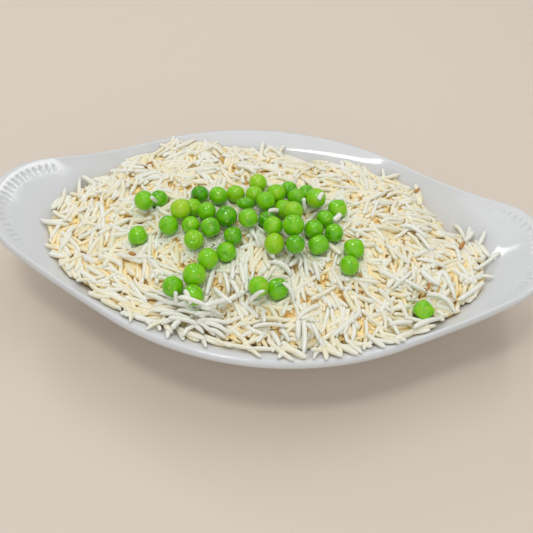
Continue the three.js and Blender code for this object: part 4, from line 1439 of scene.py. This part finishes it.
def cumin_husk():
    """Cumin fried in the rice's oil: dry brown husk, darker towards the tips."""
    material, tree = new_material("cumin_seed_husk")
    along, tint, ridge = (add(tree, "ShaderNodeAttribute", attribute_name=name).outputs["Fac"]
                          for name in ("along", "tint", "ridge"))
    tip = add(tree, "ShaderNodeMath", {0: along}, operation="ABSOLUTE")
    tip = add(tree, "ShaderNodeMapRange", {"Value": tip, 1: 0.5, 2: 1.0, 3: 0.0, 4: 0.8})
    colour = (*linear("#8F4F10"), 1)
    for share, over in ((tint, linear("#B87A2C")), (ridge, linear("#D6A257")), (tip, linear("#5E310C"))):
        mix = add(tree, "ShaderNodeMix", {"Factor": share, 6: colour, 7: (*over, 1)}, data_type="RGBA")
        colour = mix.outputs[2]
    surface = add(tree, "ShaderNodeBsdfPrincipled", {"Base Color": colour, "Roughness": 0.55})
    add(tree, "ShaderNodeOutputMaterial", {"Surface": surface})
    return material


# ---------------------------------------------------------------- stage
STAGE_HALF_SIZE = 1500
ROOM_COLOUR = (0.99, 1.0, 1.0, 1)
ROOM_STRENGTH = 0.4
AIM = (0, 0, 0.03)  # m, the point that every light faces
# The softboxes: place (m), the way the length points, length and width (m), power (W).
LIGHTS = {
    # high, wide and even
    "overhead": ((-0.15, 0.3, 1.2), (1, 0, 0), (1.1, 1.1), 3.3),
    # high and small, to the left and a little in front
    "strip": ((-0.17, -0.21, 1.2), (1, 0.3, 0), (0.24, 0.18), 2.5),
    # wide and low, in front
    "front fill": ((0.15, -0.95, 0.75), (1, 0, 0), (1.2, 1.2), 3.1),
    # small, behind on the left
    "window": ((-0.6, 0.75, 0.7), (0, 0, 1), (0.24, 0.16), 1.3),
    # long and thin, behind on the right: the highlight along the left ear's lip
    "side bank": ((0.24, 0.33, 0.71), (0.04, -0.86, 0.52), (0.56, 0.06), 0.70),
}


def area_light(name, place, length_towards, size, power):
    """A rectangular softbox that faces the dish, with its length turned the given way."""
    light = bpy.data.lights.new(name, "AREA")
    light.shape = "RECTANGLE"
    light.size, light.size_y = size
    light.energy = power
    back = (Vector(place) - Vector(AIM)).normalized()
    along = Vector(length_towards)
    along = (along - back * along.dot(back)).normalized()
    turn = Matrix((along, back.cross(along), back)).transposed().to_4x4()
    obj = bpy.data.objects.new(name, light)
    obj.matrix_world = Matrix.Translation(place) @ turn
    bpy.context.scene.collection.objects.link(obj)


def make_stage():
    scene = bpy.context.scene
    corners = np.array([(-1, -1, 0), (1, -1, 0), (1, 1, 0), (-1, 1, 0)]) * STAGE_HALF_SIZE
    floor = new_mesh("floor", corners, [(0, 1, 2, 3)])
    material, tree = new_material("pale_floor")
    surface = add(tree, "ShaderNodeBsdfPrincipled", {
        "Base Color": (*settings().floor_colour, 1), "Roughness": 0.7})
    add(tree, "ShaderNodeOutputMaterial", {"Surface": surface})
    floor.data.materials.append(material)
    world = bpy.data.worlds.new("soft_room")
    world.use_nodes = True
    background = world.node_tree.nodes["Background"].inputs
    background["Color"].default_value = ROOM_COLOUR
    background["Strength"].default_value = ROOM_STRENGTH
    scene.world = world
    for name, light in LIGHTS.items():
        area_light(name, *light)
    camera = bpy.data.cameras.new("camera")
    camera.sensor_width = SENSOR
    camera.lens = FOCAL / PICTURE_SIZE * SENSOR
    camera.clip_start = 0.01
    obj = bpy.data.objects.new("camera", camera)
    turn = Matrix((EYE_RIGHT, EYE_UP, EYE_BACK)).transposed().to_4x4()
    obj.matrix_world = Matrix.Translation(EYE * MM) @ turn
    scene.collection.objects.link(obj)
    scene.camera = obj
    scene.view_settings.view_transform = "Standard"


# ---------------------------------------------------------------- what a user can change
class BasmatiSettings(bpy.types.PropertyGroup):
    """Sizes and colours of the dish and its food."""

    glaze_colour: colour_property("Glaze", "Colour of the porcelain under its glaze", "#D8D9DA")
    flute_row_radius: length_property("Flute row", "Radius of the row of flutes in each ear", 28.6)
    flute_length: length_property("Flute length", "Length of each flute in the ears", 4.6)
    flute_width: length_property("Flute width", "Width of each flute near the lip", 2.3)
    flute_depth: length_property("Flute depth", "Depth of each flute in the ears", 0.55)
    grain_count: IntProperty(
        name="Most grains", description="The heap takes no more grains than this", min=100, default=5200)
    length_share: FloatProperty(
        name="Grain length", description="Length of the grains beside the usual one",
        subtype="FACTOR", min=0.5, max=1.5, default=1.0)
    tilted_share: FloatProperty(
        name="Tilted grains", description="Share of the grains that stay stuck at a tilt",
        subtype="FACTOR", min=0, max=1, default=0.38)
    unevenness: length_property("Unevenness", "How far a grain's skin strays from its even shape", 0.7)
    seed: IntProperty(name="Seed", description="Another number lays the grains another way", default=11)
    rice_colour: colour_property("Rice", "Colour of a grain's tips and of the whitest grains", "#F0F1EA")
    ivory_colour: colour_property("Ivory", "Colour of the warmest grains", "#F1E8C6")
    # The cream and golden colours are painted shade: the rice takes them below its skin, between the
    # grains.
    cream_shade_colour: colour_property("Cream", "Colour of the grains under the top ones", "#FFE9AB")
    golden_shade_colour: colour_property("Deep", "Colour of the rice between and below the grains", "#FFD884")
    young_pea_colour: colour_property("Young peas", "Colour of the deepest green peas", "#459C00")
    pea_colour: colour_property("Peas", "Colour of a middling pea", "#7ACB02")
    ripe_pea_colour: colour_property("Ripe peas", "Colour of the yellowest peas", "#A6D11C")
    floor_colour: colour_property("Floor", "Colour of the plain floor", "#DCCFC0")


class MakeDish(bpy.types.Operator):
    """Make the glazed dish with its fluted ears"""

    bl_idname = "basmati.make_dish"
    bl_label = "Dish"

    def execute(self, context):
        make_dish()
        return {"FINISHED"}


class MakeRice(bpy.types.Operator):
    """Lay the heap of rice, grain by grain, over its core"""

    bl_idname = "basmati.make_rice"
    bl_label = "Rice"

    def execute(self, context):
        make_rice()
        return {"FINISHED"}


class MakePeas(bpy.types.Operator):
    """Make the peas in the places that the frame gives"""

    bl_idname = "basmati.make_peas"
    bl_label = "Peas"

    def execute(self, context):
        make_peas()
        return {"FINISHED"}


class MakeSeeds(bpy.types.Operator):
    """Lay the cumin seeds on the rice"""

    bl_idname = "basmati.make_seeds"
    bl_label = "Cumin seeds"

    def execute(self, context):
        make_seeds()
        return {"FINISHED"}


class MakeStage(bpy.types.Operator):
    """Set the floor, the lights and the camera"""

    bl_idname = "basmati.make_stage"
    bl_label = "Stage"

    def execute(self, context):
        make_stage()
        return {"FINISHED"}


class BasmatiPanel(bpy.types.Panel):
    """Sidebar panel with the settings and a button for each group of pieces"""

    bl_idname = "VIEW3D_PT_basmati"
    bl_label = "Plate of basmati rice"
    bl_space_type = "VIEW_3D"
    bl_region_type = "UI"
    bl_category = "Basmati"

    def draw(self, context):
        for name in BasmatiSettings.__annotations__:
            self.layout.prop(context.scene.basmati, name)
        for operator in OPERATORS:
            self.layout.operator(operator.bl_idname)


OPERATORS = (MakeDish, MakeRice, MakePeas, MakeSeeds, MakeStage)
CLASSES = (BasmatiSettings, *OPERATORS, BasmatiPanel)


def register():
    for cls in CLASSES:
        bpy.utils.register_class(cls)
    bpy.types.Scene.basmati = PointerProperty(type=BasmatiSettings)


def unregister():
    del bpy.types.Scene.basmati
    for cls in reversed(CLASSES):
        bpy.utils.unregister_class(cls)


def main():
    register()
    bpy.ops.basmati.make_dish()
    bpy.ops.basmati.make_rice()
    bpy.ops.basmati.make_peas()
    bpy.ops.basmati.make_seeds()
    bpy.ops.basmati.make_stage()


if __name__ == "__main__":
    main()
